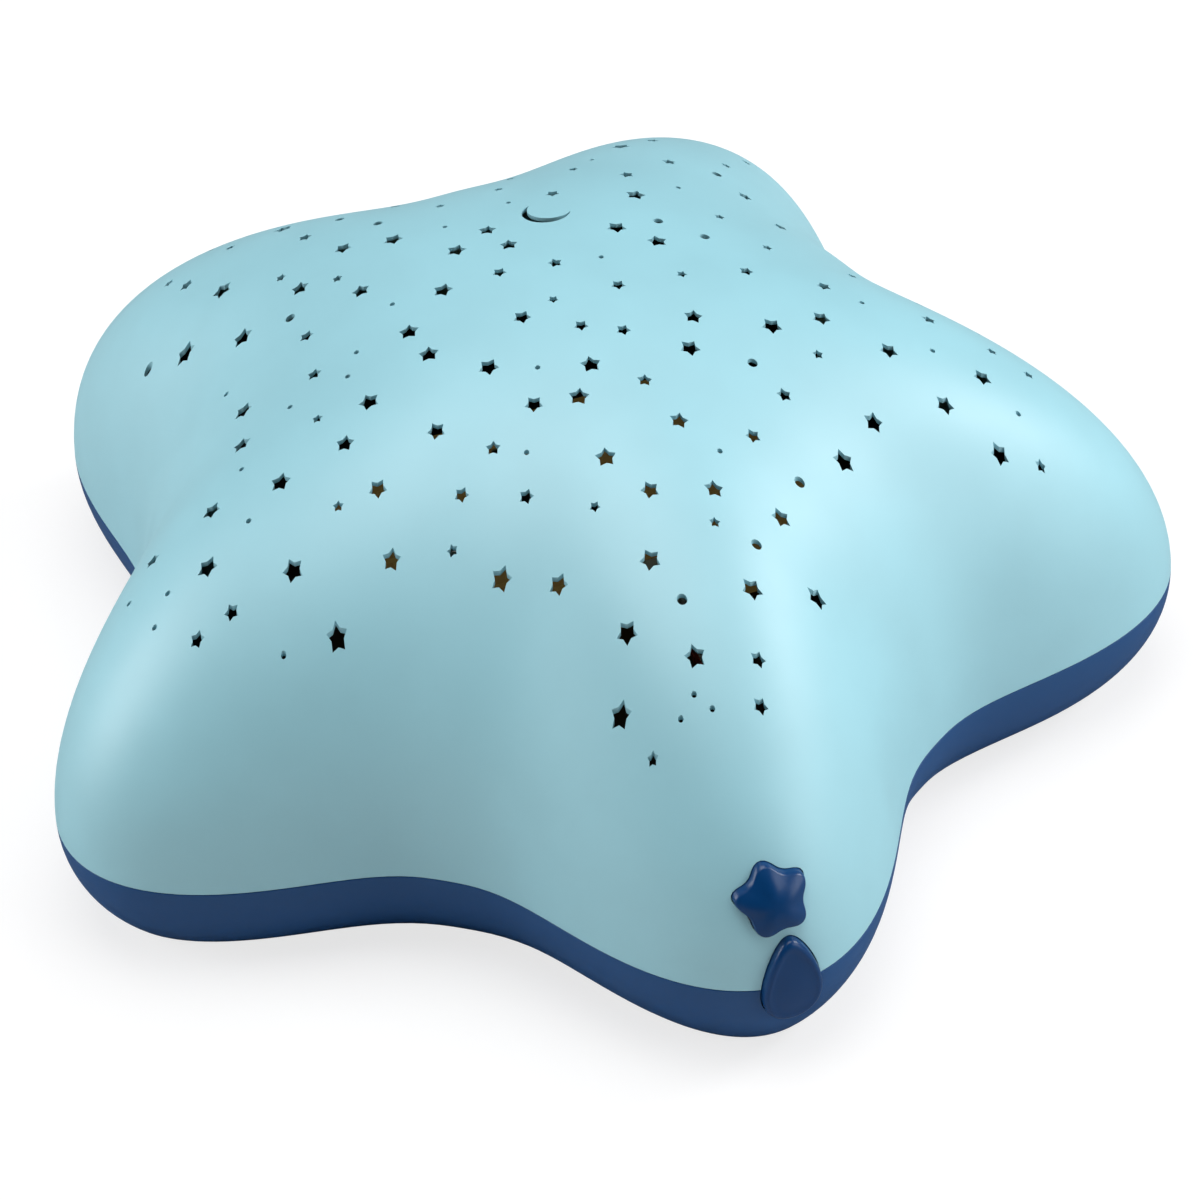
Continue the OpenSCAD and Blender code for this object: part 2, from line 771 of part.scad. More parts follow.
chip_legs = 8;
chip_place = [24, 10];
chip_l = 10;
chip_w = 6;
chip_t = 1.4;
chip_stand = 0.2;
chip_leg_w = 0.4;
chip_leg_l = 1.2;
chip_leg_t = 0.3;
module controller_chip() {
    pitch = (chip_l - chip_leg_w) / chip_legs;
    color("#1b1c1e") in_place()
        translate([chip_place.x, chip_place.y, board_top]) {
            translate([-chip_l / 2, -chip_w / 2, chip_stand])
                cube([chip_l, chip_w, chip_t]);
            for (i = [0:chip_legs - 1], side = [-1, 1])
                translate([pitch * (i - (chip_legs - 1) / 2) - chip_leg_w / 2,
                        side * (chip_w + chip_leg_l) / 2 - chip_leg_l / 2 - side * chip_stand / 2, 0])
                    cube([chip_leg_w, chip_leg_l, chip_leg_t]);
        }
}

capacitor_place = [-26, -14];
capacitor_d = 8;
capacitor_h = 9;
capacitor_bead = 0.3;
module capacitor() {
    r = capacitor_d / 2;
    h = capacitor_h;
    b = capacitor_bead;
    groove = 4 * b;
    lid = r - 3.5 * b;
    color("#20242c") in_place()
        translate([capacitor_place.x, capacitor_place.y, board_top])
            rotate_extrude($fn = 32)
                polygon([[0, 0], [r - b, 0], [r, b], [r, groove], [r - b, groove + b],
                    [r, groove + 2 * b], [r, h - b], [r - b, h], [lid + b / 2, h], [lid, h - b],
                    [0, h - b]]);
}

resistors = 6;
resistor_row = [-22, 19];
resistor_pitch = 5;
resistor_size = [1.6, 3.2, 0.6];
module chip_resistors() {
    color("#2a2320") in_place()
        for (i = [0:resistors - 1])
            translate([resistor_row.x + resistor_pitch * i, resistor_row.y, board_top])
                cube(resistor_size);
}

// ---- Button board, switches and the ribbon lead ----

button_board_w = 30;
button_board_low = 10;
button_board_high = 47;
ribbon_x = 10;
ribbon_w = 6;
ribbon_t = 1;
ribbon_run_a = 22;
ribbon_run_b = 18;
plug_w = 8;
plug_t = 4;
plug_h = 5;
plug_z = 38;
plug_y = -24;
plug_a = [-button_board_back + plug_t, plug_z];
plug_b = [plug_y - plug_h / 2, board_top + plug_t / 2];

module button_board() {
    color("#5b4a2c") in_place()
        difference() {
            translate([-button_board_w / 2, -button_board_reach, button_board_low])
                cube([button_board_w, board_t, button_board_high - button_board_low]);
            at_button_screws(button_board_reach + cut)
                cylinder(h = board_t + 2 * cut, d = small_screw_d + 0.4);
        }
}

module button_board_screws() {
    color("#9aa0a6") in_place()
        at_button_screws(button_board_reach)
            screw(small_screw_d, board_t + post_t - 1, small_head_d, small_head_h);
}

module switch_housings() {
    bore_depth = plunger_in + button_travel + 0.3;
    color("#1b1c1e") in_place()
        for (z = [star_height, drop_height])
            difference() {
                translate([-switch_side / 2, -button_board_reach - switch_h, z - switch_side / 2])
                    cube([switch_side, switch_h, switch_side]);
                toward_front(button_board_reach + switch_h - bore_depth,
                        button_board_reach + switch_h + cut, z)
                    circle(d = plunger_d + 2 * thread_gap, $fn = 32);
            }
}

module plunger(z) {
    color("#c9ccd0") in_place()
        toward_front(button_board_reach + switch_h - plunger_in, plunger_reach, z)
            circle(d = plunger_d, $fn = 32);
}

module star_plunger() {
    plunger(star_height);
}

module drop_plunger() {
    plunger(drop_height);
}

module star_button() {
    color("#1f3f86") in_place() {
        skin([
            flat_ring(star_outline(0), star_height, star_seat_reach - 0.5),
            cap_ring(star_outline(0), star_height, button_proud - 1.1),
            cap_ring(star_outline(-0.3), star_height, button_proud - 0.6),
            cap_ring(star_outline(-1), star_height, button_proud - 0.2),
            cap_ring(star_outline(-2.4), star_height, button_proud)
        ], [0, -star_seat_reach + 0.5, star_height],
            [0, -shell_reach(0, star_height) - button_proud, star_height]);
        toward_front(star_seat_reach - flange_t, star_seat_reach, star_height)
            circle(r = star_flange_r, $fn = 48);
        toward_front(plunger_reach, star_seat_reach - flange_t + 0.5, star_height)
            circle(d = stem_d, $fn = 32);
    }
}

module drop_button() {
    color("#1f3f86") in_place() {
        skin([
            flat_ring(drop_outline(0), drop_height, drop_seat_reach - 0.5),
            cap_ring(drop_outline(0), drop_height, button_proud - 0.9),
            cap_ring(drop_outline(-0.3), drop_height, button_proud - 0.3),
            drop_face_ring(),
            cap_ring(drop_outline(-1.3), drop_height, button_proud - 0.3)
        ], [0, -drop_seat_reach + 0.5, drop_height],
            [0, -shell_reach(0, drop_height) - button_proud + 0.3, drop_height]);
        toward_front(drop_seat_reach - flange_t, drop_seat_reach, drop_height)
            polygon(drop_outline(flange_rim));
        toward_front(plunger_reach, drop_seat_reach - flange_t + 0.5, drop_height)
            circle(d = stem_d, $fn = 32);
    }
}

module ribbon_plugs() {
    color("#ece9df") in_place() {
        translate([ribbon_x - plug_w / 2, -button_board_back, plug_z - plug_h / 2])
            cube([plug_w, plug_t, plug_h]);
        translate([ribbon_x - plug_w / 2, plug_y - plug_h / 2, board_top])
            cube([plug_w, plug_h, plug_t]);
    }
}

// Side view of the ribbon: a curve from plug to plug, given its thickness
function ribbon_at(s) =
    curve_at(s, plug_a, plug_a + [ribbon_run_a, 0], plug_b - [ribbon_run_b, 0], plug_b);
function ribbon_side(s, off) =
    let(along = ribbon_at(min(s + 0.001, 1)) - ribbon_at(max(s - 0.001, 0)))
    ribbon_at(s) + off * [-along.y, along.x] / norm(along);

module ribbon_lead() {
    steps = 16;
    half = ribbon_t / 2;
    outline = concat([for (i = [0:steps]) ribbon_side(i / steps, half)],
        [for (i = [steps:-1:0]) ribbon_side(i / steps, -half)]);
    color("#d9d6cc") in_place()
        translate([ribbon_x - ribbon_w / 2, 0, 0])
            rotate([90, 0, 90])
                linear_extrude(ribbon_w)
                    polygon(outline);
}

// ---- Cells and contacts ----

nub_d = 5.3;
nub_h = 1.3;
plate_side = 12;
wire_d = 0.7;
spring_turns = 3.5;
spring_steps = 36;
spring_sides = 6;
spring_wide = 4.2;
spring_narrow = 2.6;

// Each cell in turn points the other way; children run from its flat end towards its nub
module along_cells()
    for (i = [0:cells - 1])
        translate([(i - (cells - 1) / 2) * cell_pitch, 0, cell_z])
            rotate([i % 2 == 0 ? -90 : 90, 0, 0])
                translate([0, 0, -bay_l / 2 + plate_t])
                    children();

module battery_cells() {
    color("#8d9096") in_place()
        along_cells()
            translate([0, 0, spring_l]) {
                cylinder(h = cell_l - nub_h, d = cell_d);
                cylinder(h = cell_l, d = nub_d);
            }
}

function spring_ring(i) =
    let(s = i / spring_steps, turn = 360 * spring_turns * s)
    let(r = spring_wide + (spring_narrow - spring_wide) * s)
    let(z = wire_d / 2 + 0.02 + (spring_l - wire_d - 0.04) * s)
    [for (k = [0:spring_sides - 1]) let(a = -360 * k / spring_sides, w = wire_d / 2)
        [(r + w * cos(a)) * cos(turn), (r + w * cos(a)) * sin(turn), z + w * sin(a)]];
function middle_of(ring) = [for (k = [0:2]) (ring[0][k] + ring[spring_sides / 2][k]) / 2];

module contact_springs() {
    rings = [for (i = [0:spring_steps]) spring_ring(i)];
    color("#c3c6c9") in_place()
        along_cells()
            skin(rings, middle_of(rings[0]), middle_of(rings[spring_steps]));
}

// Contact plate against the end wall on one side of the bay
module plate(side, x_low, x_high)
    translate([x_low, side > 0 ? bay_l / 2 - plate_t : -bay_l / 2, cell_z - plate_side / 2])
        cube([x_high - x_low, plate_t, plate_side]);

module bump(side, x)
    translate([x, side * (bay_l / 2 - plate_t / 2), cell_z])
        rotate([side * 90, 0, 0])
            cylinder(h = plate_t / 2 + bump_h, d1 = 5, d2 = 3);

module link_plates() {
    half = plate_side / 2;
    color("#c3c6c9") in_place()
        for (side = [-1, 1]) {
            plate(side, side > 0 ? -cell_pitch - half : -half, side > 0 ? half : cell_pitch + half);
            bump(side, side > 0 ? -cell_pitch : 0);
        }
}

module terminal_plates() {
    half = plate_side / 2;
    tab_w = 3;
    color("#c3c6c9") in_place()
        for (side = [-1, 1]) {
            plate(side, side * cell_pitch - half, side * cell_pitch + half);
            translate([side * cell_pitch - tab_w / 2, side * lead_reach - plate_t / 2, cell_z])
                cube([tab_w, plate_t, lead_low - cell_z]);
            if (side > 0)
                bump(side, cell_pitch);
        }
}

module battery_leads() {
    color("#b03a30") in_place()
        at_leads()
            translate([0, 0, lead_low])
                cylinder(h = board_z - lead_low, d = lead_d, $fn = 24);
}

dome();
base_shell();
light_tray();
main_board();
lamp_collar();
lamps();
controller_chip();
capacitor();
chip_resistors();
ribbon_plugs();
ribbon_lead();
button_board();
switch_housings();
star_plunger();
drop_plunger();
star_button();
drop_button();
battery_cells();
contact_springs();
link_plates();
terminal_plates();
battery_leads();
battery_door();
door_screws();
case_screws();
main_board_screws();
button_board_screws();
rubber_feet();
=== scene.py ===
# %% [markdown]
# # A star night light, dressed for its portrait
#
# The object is a shallow toy-like lamp for a child's room: a pale aqua star with five soft arms,
# pierced by stars, dots and a moon, on a navy base, with two navy buttons on the front arm.
# The CAD model is the fixed frame. It already has every part at its real size, but its free
# forms are made of flat facets. Here they become smooth surfaces worked out with numpy, and every
# part gets a material made of nodes.

# %% Load the frame
import math

import bpy
import numpy as np
from mathutils import Matrix, Vector


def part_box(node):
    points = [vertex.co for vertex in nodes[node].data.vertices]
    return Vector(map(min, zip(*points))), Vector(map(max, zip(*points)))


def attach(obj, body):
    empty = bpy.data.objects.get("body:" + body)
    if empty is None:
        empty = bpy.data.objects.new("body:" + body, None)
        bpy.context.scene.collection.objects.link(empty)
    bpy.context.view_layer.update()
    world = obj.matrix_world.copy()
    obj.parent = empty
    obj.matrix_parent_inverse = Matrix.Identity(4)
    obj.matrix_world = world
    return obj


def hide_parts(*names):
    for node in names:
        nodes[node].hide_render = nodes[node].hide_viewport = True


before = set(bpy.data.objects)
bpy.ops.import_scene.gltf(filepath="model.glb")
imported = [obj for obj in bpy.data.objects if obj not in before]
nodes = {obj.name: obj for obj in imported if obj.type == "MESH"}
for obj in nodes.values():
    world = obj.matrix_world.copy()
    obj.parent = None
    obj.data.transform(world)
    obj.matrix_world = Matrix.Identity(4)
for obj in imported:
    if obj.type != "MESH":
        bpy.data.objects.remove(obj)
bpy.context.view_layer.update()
MM = 0.001

# %% [markdown]
# ## Camera
#
# The portrait is taken from the left of the front arm, about 40 degrees above the table, with a
# long lens from about a metre away. The lens is a share of the film's width, so the picture's
# size in pixels doesn't matter. The camera is aimed a little to the right of and below the
# middle of the star, which puts the star up and to the left in the frame without any lens shift.

# %% Camera
feet = np.array([v.co for v in nodes["rubber_feet"].data.vertices]) / MM
CENTRE_Y = float(feet[:, 1].mean())       # the five feet stand in a ring about the star's centre
AZIMUTH, ELEVATION, ROLL = map(math.radians, (-17.416, 40.537, -3.453))
DISTANCE = 1074.0
LENS_PER_WIDTH = 5902.9 / 1200
AIM_RIGHT, AIM_DOWN = 5.72, 12.66
AIM_HEIGHT = 36.0


def camera_axes():
    """Right, up and back: a camera on a sphere round the star, then rolled about its own view."""
    back = np.array([math.sin(AZIMUTH) * math.cos(ELEVATION),
                     -math.cos(AZIMUTH) * math.cos(ELEVATION), math.sin(ELEVATION)])
    right = np.array([math.cos(AZIMUTH), math.sin(AZIMUTH), 0.0])
    up = np.cross(back, right)
    c, s = math.cos(ROLL), math.sin(ROLL)
    return right * c + up * s, up * c - right * s, back


right, up, back = camera_axes()
middle = np.array([0.0, CENTRE_Y, AIM_HEIGHT])
eye = middle + DISTANCE * back
view = middle + AIM_RIGHT * right - AIM_DOWN * up - eye
view /= np.linalg.norm(view)
side = np.cross(view, up)
side /= np.linalg.norm(side)
camera = bpy.data.objects.new("Camera", bpy.data.cameras.new("Camera"))
bpy.context.scene.collection.objects.link(camera)
camera.data.sensor_width = 36.0
camera.data.lens = 36.0 * LENS_PER_WIDTH
camera.data.clip_start, camera.data.clip_end = 0.05, 20.0
camera.matrix_world = Matrix.Translation(Vector(eye * MM)) @ Matrix(
    np.stack([side, np.cross(side, view), -view], 1)).to_4x4()
bpy.context.scene.camera = camera
print("camera stands at", np.round(eye), "mm, lens", round(camera.data.lens, 1))

# %% [markdown]
# ## Shader helper
#
# Materials are graphs of nodes. Written out node by node they are long and hard to read, so two
# small tools do the wiring. `Wire` wraps a socket, and adding or multiplying wires adds Math
# nodes. `Finish` makes a material and adds any other node by its type name, its settings and its
# inputs.

# %% Wires
class Wire:
    """A number that changes over the surface. Arithmetic on it adds Math nodes."""

    def __init__(self, finish, socket):
        self.finish, self.socket = finish, socket

    def _math(self, operation, a, b=None):
        return self.finish.node("ShaderNodeMath", {"operation": operation}, {0: a, 1: b})

    def __add__(self, other):
        return self._math("ADD", self, other)

    def __sub__(self, other):
        return self._math("SUBTRACT", self, other)

    def __rsub__(self, other):
        return self._math("SUBTRACT", other, self)

    def __mul__(self, other):
        return self._math("MULTIPLY", self, other)

    def __truediv__(self, other):
        return self._math("DIVIDE", self, other)

    def above(self, limit):
        return self._math("GREATER_THAN", self, limit)

    def between(self, low, high):
        return self.above(low) * (1 - self.above(high))

    def size(self):
        return self._math("ABSOLUTE", self)

    def wave(self):
        """Swings from 0 to 1 and back as the number grows by 1."""
        return self._math("SINE", self * math.tau) * 0.5 + 0.5

    def smooth(self, low, high):
        """0 below low, 1 above high, and a soft step between them."""
        return self.finish.node("ShaderNodeMapRange", {"interpolation_type": "SMOOTHSTEP"},
                                {"Value": self, "From Min": low, "From Max": high})

    __radd__, __rmul__ = __add__, __mul__


print("sums of wires become Math nodes")

# %% Finishes
class Finish:
    """A material with one Principled shader."""

    def __init__(self, name):
        self.material = bpy.data.materials.new(name)
        self.material.use_nodes = True
        self.tree = self.material.node_tree
        self.shader = self.tree.nodes["Principled BSDF"]
        self.place = self.node("ShaderNodeTexCoord", out="Object")

    def node(self, kind, settings=None, inputs=None, out=0):
        """Adds a node, sets it up, fills or links its sockets, and returns one output."""
        made = self.tree.nodes.new(kind)
        for key, value in (settings or {}).items():
            setattr(made, key, value)
        self.fill(made, inputs or {})
        return Wire(self, made.outputs[out])

    def fill(self, node, inputs):
        for key, value in inputs.items():
            if isinstance(value, Wire):
                self.tree.links.new(value.socket, node.inputs[key])
            elif value is not None:
                node.inputs[key].default_value = value

    def surface(self, **sockets):
        """Sets or links the shader's own sockets: base_color means Base Color."""
        self.fill(self.shader, {key.replace("_", " ").title().replace("Ior", "IOR"): value
                                for key, value in sockets.items()})
        return self

    def axes(self, about=(0, 0, 0), of=None):
        """The surface's own x, y and z in mm, counted from a point, as three wires."""
        split = self.tree.nodes.new("ShaderNodeSeparateXYZ")
        self.tree.links.new((of or self.place).socket, split.inputs[0])
        return [Wire(self, output) / MM - float(start)
                for output, start in zip(split.outputs, about)]

    def noise(self, scale, detail=2.0, roughness=0.5, stretch=None):
        """Soft noise from 0 to 1, so many waves to a metre."""
        place = self.place
        if stretch:
            place = self.node("ShaderNodeMapping", inputs={"Vector": place, "Scale": stretch})
        return self.node("ShaderNodeTexNoise", inputs={
            "Vector": place, "Scale": scale, "Detail": detail, "Roughness": roughness})

    def mix(self, share, first, second):
        """A colour between two, by a wire from 0 to 1."""
        made = self.tree.nodes.new("ShaderNodeMix")
        made.data_type = "RGBA"
        for index, value in ((0, share), (6, first), (7, second)):
            if isinstance(value, Wire):
                self.tree.links.new(value.socket, made.inputs[index])
            else:
                made.inputs[index].default_value = (*value, 1) if index else value
        return Wire(self, made.outputs[2])

    def bump(self, height, depth):
        """Relief of a depth in metres, from a height between 0 and 1."""
        return self.node("ShaderNodeBump", inputs={
            "Height": height, "Distance": depth, "Strength": 1.0})


def dress(thing, *finishes):
    """Gives an object its materials."""
    thing.data.materials.clear()
    for finish in finishes:
        thing.data.materials.append(finish.material)


def shades(colour, *factors):
    """Darker and lighter versions of a colour."""
    return [tuple(min(c * f, 1.0) for c in colour) for f in factors]


print("shader tools ready")

# %% [markdown]
# ## The star's form
#
# Seen from above, the outline swells five times between a waist and an arm's reach. Seen from
# the side, two curves climb from the seam to the flat top: one along an arm's crest, one between
# two arms. The surface blends the two by how near a point is to the middle of an arm. It is a
# function of two parameters, the angle round the star and the share of the climb, so whole
# grids of points are worked out at once.

# %% The star's form
ARMS, FRONT = 5, math.radians(-90)
ARM_REACH, WAIST = 109.92, 78.5
SHARPNESS, NARROWING = 1.2, 0.6
SEAM_Z, TOP_Z = 21.0, 92.0


def side_view(reach, shoulder, flat):
    """Four points that steer a climb: straight up from the seam towards a shoulder's height,
    then over to the level top, which starts to bend down towards a flat's width."""
    return np.array([[reach, SEAM_Z], [reach, shoulder], [flat, TOP_Z], [0, TOP_Z]])


CREST, VALLEY = side_view(ARM_REACH, 57.0, 52.0), side_view(WAIST, 66.0, 47.0)


def curve(s, ends):
    """Cubic curve: each control point weighted by its share of (1 - s) and s to the third."""
    s = np.asarray(s, float)[..., None]
    a, b, c, d = ends
    return (1 - s) ** 3 * a + 3 * (1 - s) ** 2 * s * b + 3 * (1 - s) * s ** 2 * c + s ** 3 * d


def arm_share(angle, power):
    """1 on the middle of an arm and 0 between two: a raised cosine, to a power."""
    return ((1 + np.cos(ARMS * (angle - FRONT))) / 2) ** power


def dome(angle, climb):
    """Point of the dome's outside: the valley's side view plus the arm's share of the way to
    the crest's, turned to the angle. The share's power grows with the climb."""
    share = arm_share(angle, SHARPNESS * (1 + NARROWING * climb))[..., None]
    low = curve(climb, VALLEY)
    reach, z = np.moveaxis(low + (curve(climb, CREST) - low) * share, -1, 0)
    return np.stack([reach * np.cos(angle), reach * np.sin(angle) + CENTRE_Y, z], -1)


def unit(vectors):
    """Vectors made one long."""
    return vectors / np.linalg.norm(vectors, axis=-1, keepdims=True)


def dome_normal(angle, climb):
    """Outward unit normal: the cross product of the steps round and up the surface."""
    step = 1e-4
    low, high = np.clip(climb - step, 1e-3, 1), np.clip(climb + step, 1e-3 + 2 * step, 0.9999)
    around = dome(angle + step, climb) - dome(angle - step, climb)
    return unit(np.cross(around, dome(angle, high) - dome(angle, low)))


def rim(angle, inset=0.0):
    """Outline at the seam: the raised cosine between waist and reach, moved inwards square to
    itself."""
    def raw(a):
        reach = WAIST + (ARM_REACH - WAIST) * arm_share(a, SHARPNESS)
        return np.stack([reach * np.cos(a), reach * np.sin(a)], -1)
    along = unit(raw(angle + 1e-3) - raw(angle - 1e-3))
    inward = np.stack([-along[..., 1], along[..., 0]], -1)
    return raw(angle) + np.asarray(inset)[..., None] * inward + [0, CENTRE_Y]


tips = dome(FRONT + np.arange(ARMS) * math.tau / ARMS, np.zeros(ARMS))
print("arm tips in mm:", np.round(tips[:, :2], 1).tolist())

# %% [markdown]
# ## Meshes from rings
#
# Most shapes here are rings of points stacked from one end to the other, with both ends closed
# by a fan to a pole. One function turns such a stack into faces that point outwards.

# %% Mesh helpers
def piece(name, points, faces, smooth=True):
    """A new object from points in millimetres and faces as rows of point numbers."""
    mesh = bpy.data.meshes.new(name)
    mesh.from_pydata((np.asarray(points) * MM).tolist(), [], faces)
    mesh.update()
    if smooth:
        mesh.shade_smooth()
    thing = bpy.data.objects.new(name, mesh)
    bpy.context.scene.collection.objects.link(thing)
    return thing


def stack_faces(rings, count):
    """Quads between neighbouring rings of so many points that run anticlockwise from above."""
    j, i = np.meshgrid(np.arange(rings - 1), np.arange(count), indexing="ij")
    k = (i + 1) % count
    quads = np.stack([j * count + i, j * count + k, (j + 1) * count + k, (j + 1) * count + i], -1)
    return quads.reshape(-1, 4).tolist()


def level(ring, z):
    """A ring of (x, y) at a height."""
    return np.column_stack([ring, np.full(len(ring), z)])


def stack(rings, low_pole, high_pole):
    """Closed solid through rings, lowest first, with a fan of triangles to each pole."""
    rings = np.asarray(rings, float)
    m, n = rings.shape[:2]
    i = np.arange(n)
    k = (i + 1) % n
    low = np.stack([k, i, np.full(n, m * n)], -1)
    high = np.stack([(m - 1) * n + i, (m - 1) * n + k, np.full(n, m * n + 1)], -1)
    points = np.concatenate([rings.reshape(-1, 3), [low_pole, high_pole]])
    return points, stack_faces(m, n) + low.tolist() + high.tolist()


def joined(parts):
    """Several (points, faces) as one."""
    points, faces, count = [], [], 0
    for part_points, part_faces in parts:
        points.append(part_points)
        faces += [[v + count for v in face] for face in part_faces]
        count += len(part_points)
    return np.concatenate(points), faces


def circle(radius, place, sides=48, turn=0.0):
    """Points at even angles round a place: radius times cosine and sine."""
    angle = math.tau * np.arange(sides) / sides + turn
    return radius * np.stack([np.cos(angle), np.sin(angle)], -1) + place


def about_centre(x, y):
    """A place whose x and y are counted from the star's centre."""
    return np.array([x, y + CENTRE_Y])


def five_places(radius, offset):
    """Places on a circle about the centre: under the arms, or in the notches at an offset of
    half a step."""
    turns = FRONT + math.tau * (np.arange(ARMS) + offset) / ARMS
    return [about_centre(radius * math.cos(t), radius * math.sin(t)) for t in turns]


def prism(outline, low, high, axis="Z"):
    """Upright prism over an outline that runs anticlockwise, or one that runs towards the front:
    then the outline is (x, z) and low and high are distances in front of the star's centre."""
    outline = np.asarray(outline, float)
    ends = [level(outline, z) for z in (low, high)]
    poles = [np.append(outline.mean(0), z) for z in (low, high)]
    points, faces = stack(ends, *poles)
    if axis == "Y":
        points = np.column_stack([points[:, 0], CENTRE_Y - points[:, 2], points[:, 1]])
    return points, faces


def carve(thing, tool, operation="DIFFERENCE"):
    """Cuts or joins a tool, keeps the result in the thing's mesh and removes the tool."""
    cut = thing.modifiers.new("cut", "BOOLEAN")
    cut.operation, cut.object, cut.solver = operation, tool, "MANIFOLD"
    graph = bpy.context.evaluated_depsgraph_get()
    made = bpy.data.meshes.new_from_object(thing.evaluated_get(graph))
    thing.modifiers.clear()
    old, thing.data = thing.data, made
    made.name = thing.name
    for mesh in (old, tool.data):
        bpy.data.meshes.remove(mesh)
    return thing


print("mesh tools ready")

# %% [markdown]
# ## The light holes
#
# The holes are punched straight down by the mould, so on the slopes they show their walls. Each
# one is a tall prism over a star, a dot or the moon, and one Boolean takes them all out of the
# shell. The chart gives each hole's place in hundredths of an arm's reach. Every star is turned
# by a rule on its own place, which looks like chance but never changes.

# %% Chart of the holes
LARGE_STARS = [
    [-44, 42.5], [-52.5, 37.5], [-45, 27.5], [-18, 28.5], [-10.5, 18], [-16, 8.5], [-24, 2],
    [-34.5, -9], [-23, -5], [-51.5, -14.5], [-15.5, -12.5], [-4.5, -24], [-0.5, -18.5],
    [-54.5, -29], [-4.5, -36], [-51, -39], [-25.5, -45], [-4, -54], [-11, -62], [-15.5, -70.5],
    [-2.5, -69], [15.5, 13.5], [31, -16], [34, -39], [22.5, 24], [-66, -20], [10, -61], [20.5, 8],
    [16, -19], [29, 50], [-30, 53]]
MIDDLE_STARS = [
    [-25.5, 32.5], [-34.5, 28], [-27, 18], [-2.5, 15], [-50.5, 9.5], [-4, 21.5], [-53.5, 0.5],
    [-62, -10], [-7, -4.5], [-40.5, -14.5], [-27, -20], [-11.5, -22.5], [-40, -34.5], [0, -43.5],
    [-18, -50.5], [19, -12.5], [40, -14.5], [49, -21], [64, -24], [55, -30], [41.5, -33], [62, -36],
    [10, -45], [19.5, -49], [21, -60], [-38.5, -24.5], [9, -32.5]]
SMALL_STARS = [
    [-29, 43], [10, -2.5], [32, -2], [6.5, -24], [10, 29.5], [24, 32.5], [33.5, 38.5], [-71, -29],
    [-65, -29], [36, 54], [-12, 47], [-20, -27], [-47.5, 53], [-37.5, 15], [-6.5, 8], [-39.5, 4.5],
    [-72, -8], [-27, -31.5], [-18, -36.5], [2.5, 6.5], [44, -5.5], [1, -10], [60, -11], [7, -13],
    [28, -29], [20, -36], [7, -71], [5, -77], [43.5, 29.5], [46, 19.5]]
TINY_STARS = [
    [-49, 59.5], [-38.5, 56.5], [-7, 37.5], [-36, 34], [-29, 24.5], [-42.5, -6.5], [-1, -2.5],
    [-45, -24], [-31, -38], [-9, -43], [-13, -77.5], [34.5, 17], [39, 7], [52, 2.5], [21, -2],
    [69, -16], [74, -19.5], [36.5, -22], [69, -36.5], [8, -50.5], [3.5, 38.5], [17, 39.5],
    [45, 42.5], [44, 61], [52, 52], [-40, 64], [8, 46], [62, -2]]
LARGE_DOTS = [
    [-57.5, 44.5], [-18, 37], [-38, 22.5], [-1.5, -61], [29, 9], [25, -23], [25, -43],
    [13.5, -54], [23, 14.5], [41, 36], [-22, 46]]
SMALL_DOTS = [
    [-9.5, 27], [-51, 18], [-24, 10.5], [-32.5, 3.5], [-45, 0.5], [-35.5, -1], [-55.5, -6],
    [-77.5, -12], [-8.5, -16], [-72.5, -18.5], [-58, -17.5], [-76, -22], [-15.5, -30],
    [-59.5, -37.5], [-4.5, -73.5], [-7.5, -75.5], [-2.5, -76], [10, 5.5], [49, -9.5],
    [57, -20], [68, -29.5], [13.5, -38.5], [2.5, 30], [31, 27], [21.5, 43], [37, 64],
    [52, 60], [-33, 64], [70, -8], [14, 51], [-5, 52]]
STAR_SIZES = ((LARGE_STARS, 1.9), (MIDDLE_STARS, 1.7), (SMALL_STARS, 1.35), (TINY_STARS, 1.0))
DOT_SIZES = ((LARGE_DOTS, 0.9, 32), (SMALL_DOTS, 0.49, 20))
MOON_PLACE, MOON_RADIUS, MOON_INNER, MOON_SHIFT = (6.6, 22.9), 4.4, 0.93, 0.24
MOON_STEPS = 28
STAR_HOLLOW = 0.6
TURN_BY_X, TURN_BY_Y = 7, 11              # degrees for each hundredth of the reach
PAST = 1.0                                # how far a cut reaches past the face that it opens
HOLE_LOW, HOLE_HIGH = 38.0, TOP_Z + PAST


def on_chart(place):
    """Place on the star, in mm, of a point of the chart."""
    return np.array(place) * ARM_REACH / 100 + [0, CENTRE_Y]


def star_hole(place, radius):
    """Ten corners, by turns on the outer and the inner circle, turned by a rule on the place."""
    turn = np.radians(TURN_BY_X * place[0] + TURN_BY_Y * place[1] + 36 * np.arange(10))
    reach = np.where(np.arange(10) % 2, radius * STAR_HOLLOW, radius)
    return on_chart(place) + reach[:, None] * np.stack([np.cos(turn), np.sin(turn)], -1)


def moon_hole():
    """Crescent: the outer circle as far as the horns, and back along a smaller circle that
    is shifted towards the upper right. The horns lie where both circles meet."""
    shift, inner = MOON_SHIFT * math.sqrt(2) * MOON_RADIUS, MOON_INNER * MOON_RADIUS
    along = (MOON_RADIUS ** 2 - inner ** 2 + shift ** 2) / (2 * shift)
    horn_out = math.acos(along / MOON_RADIUS)
    horn_in = math.acos((along - shift) / inner)
    out = np.linspace(horn_out, math.tau - horn_out, MOON_STEPS)
    back = np.linspace(math.tau - horn_in, horn_in, MOON_STEPS)[1:-1]
    x = np.concatenate([MOON_RADIUS * np.cos(out), shift + inner * np.cos(back)])
    y = np.concatenate([MOON_RADIUS * np.sin(out), inner * np.sin(back)])
    c = math.sqrt(0.5)                    # cosine and sine of half a right angle
    return on_chart(MOON_PLACE) + np.stack([c * x - c * y, c * x + c * y], -1)


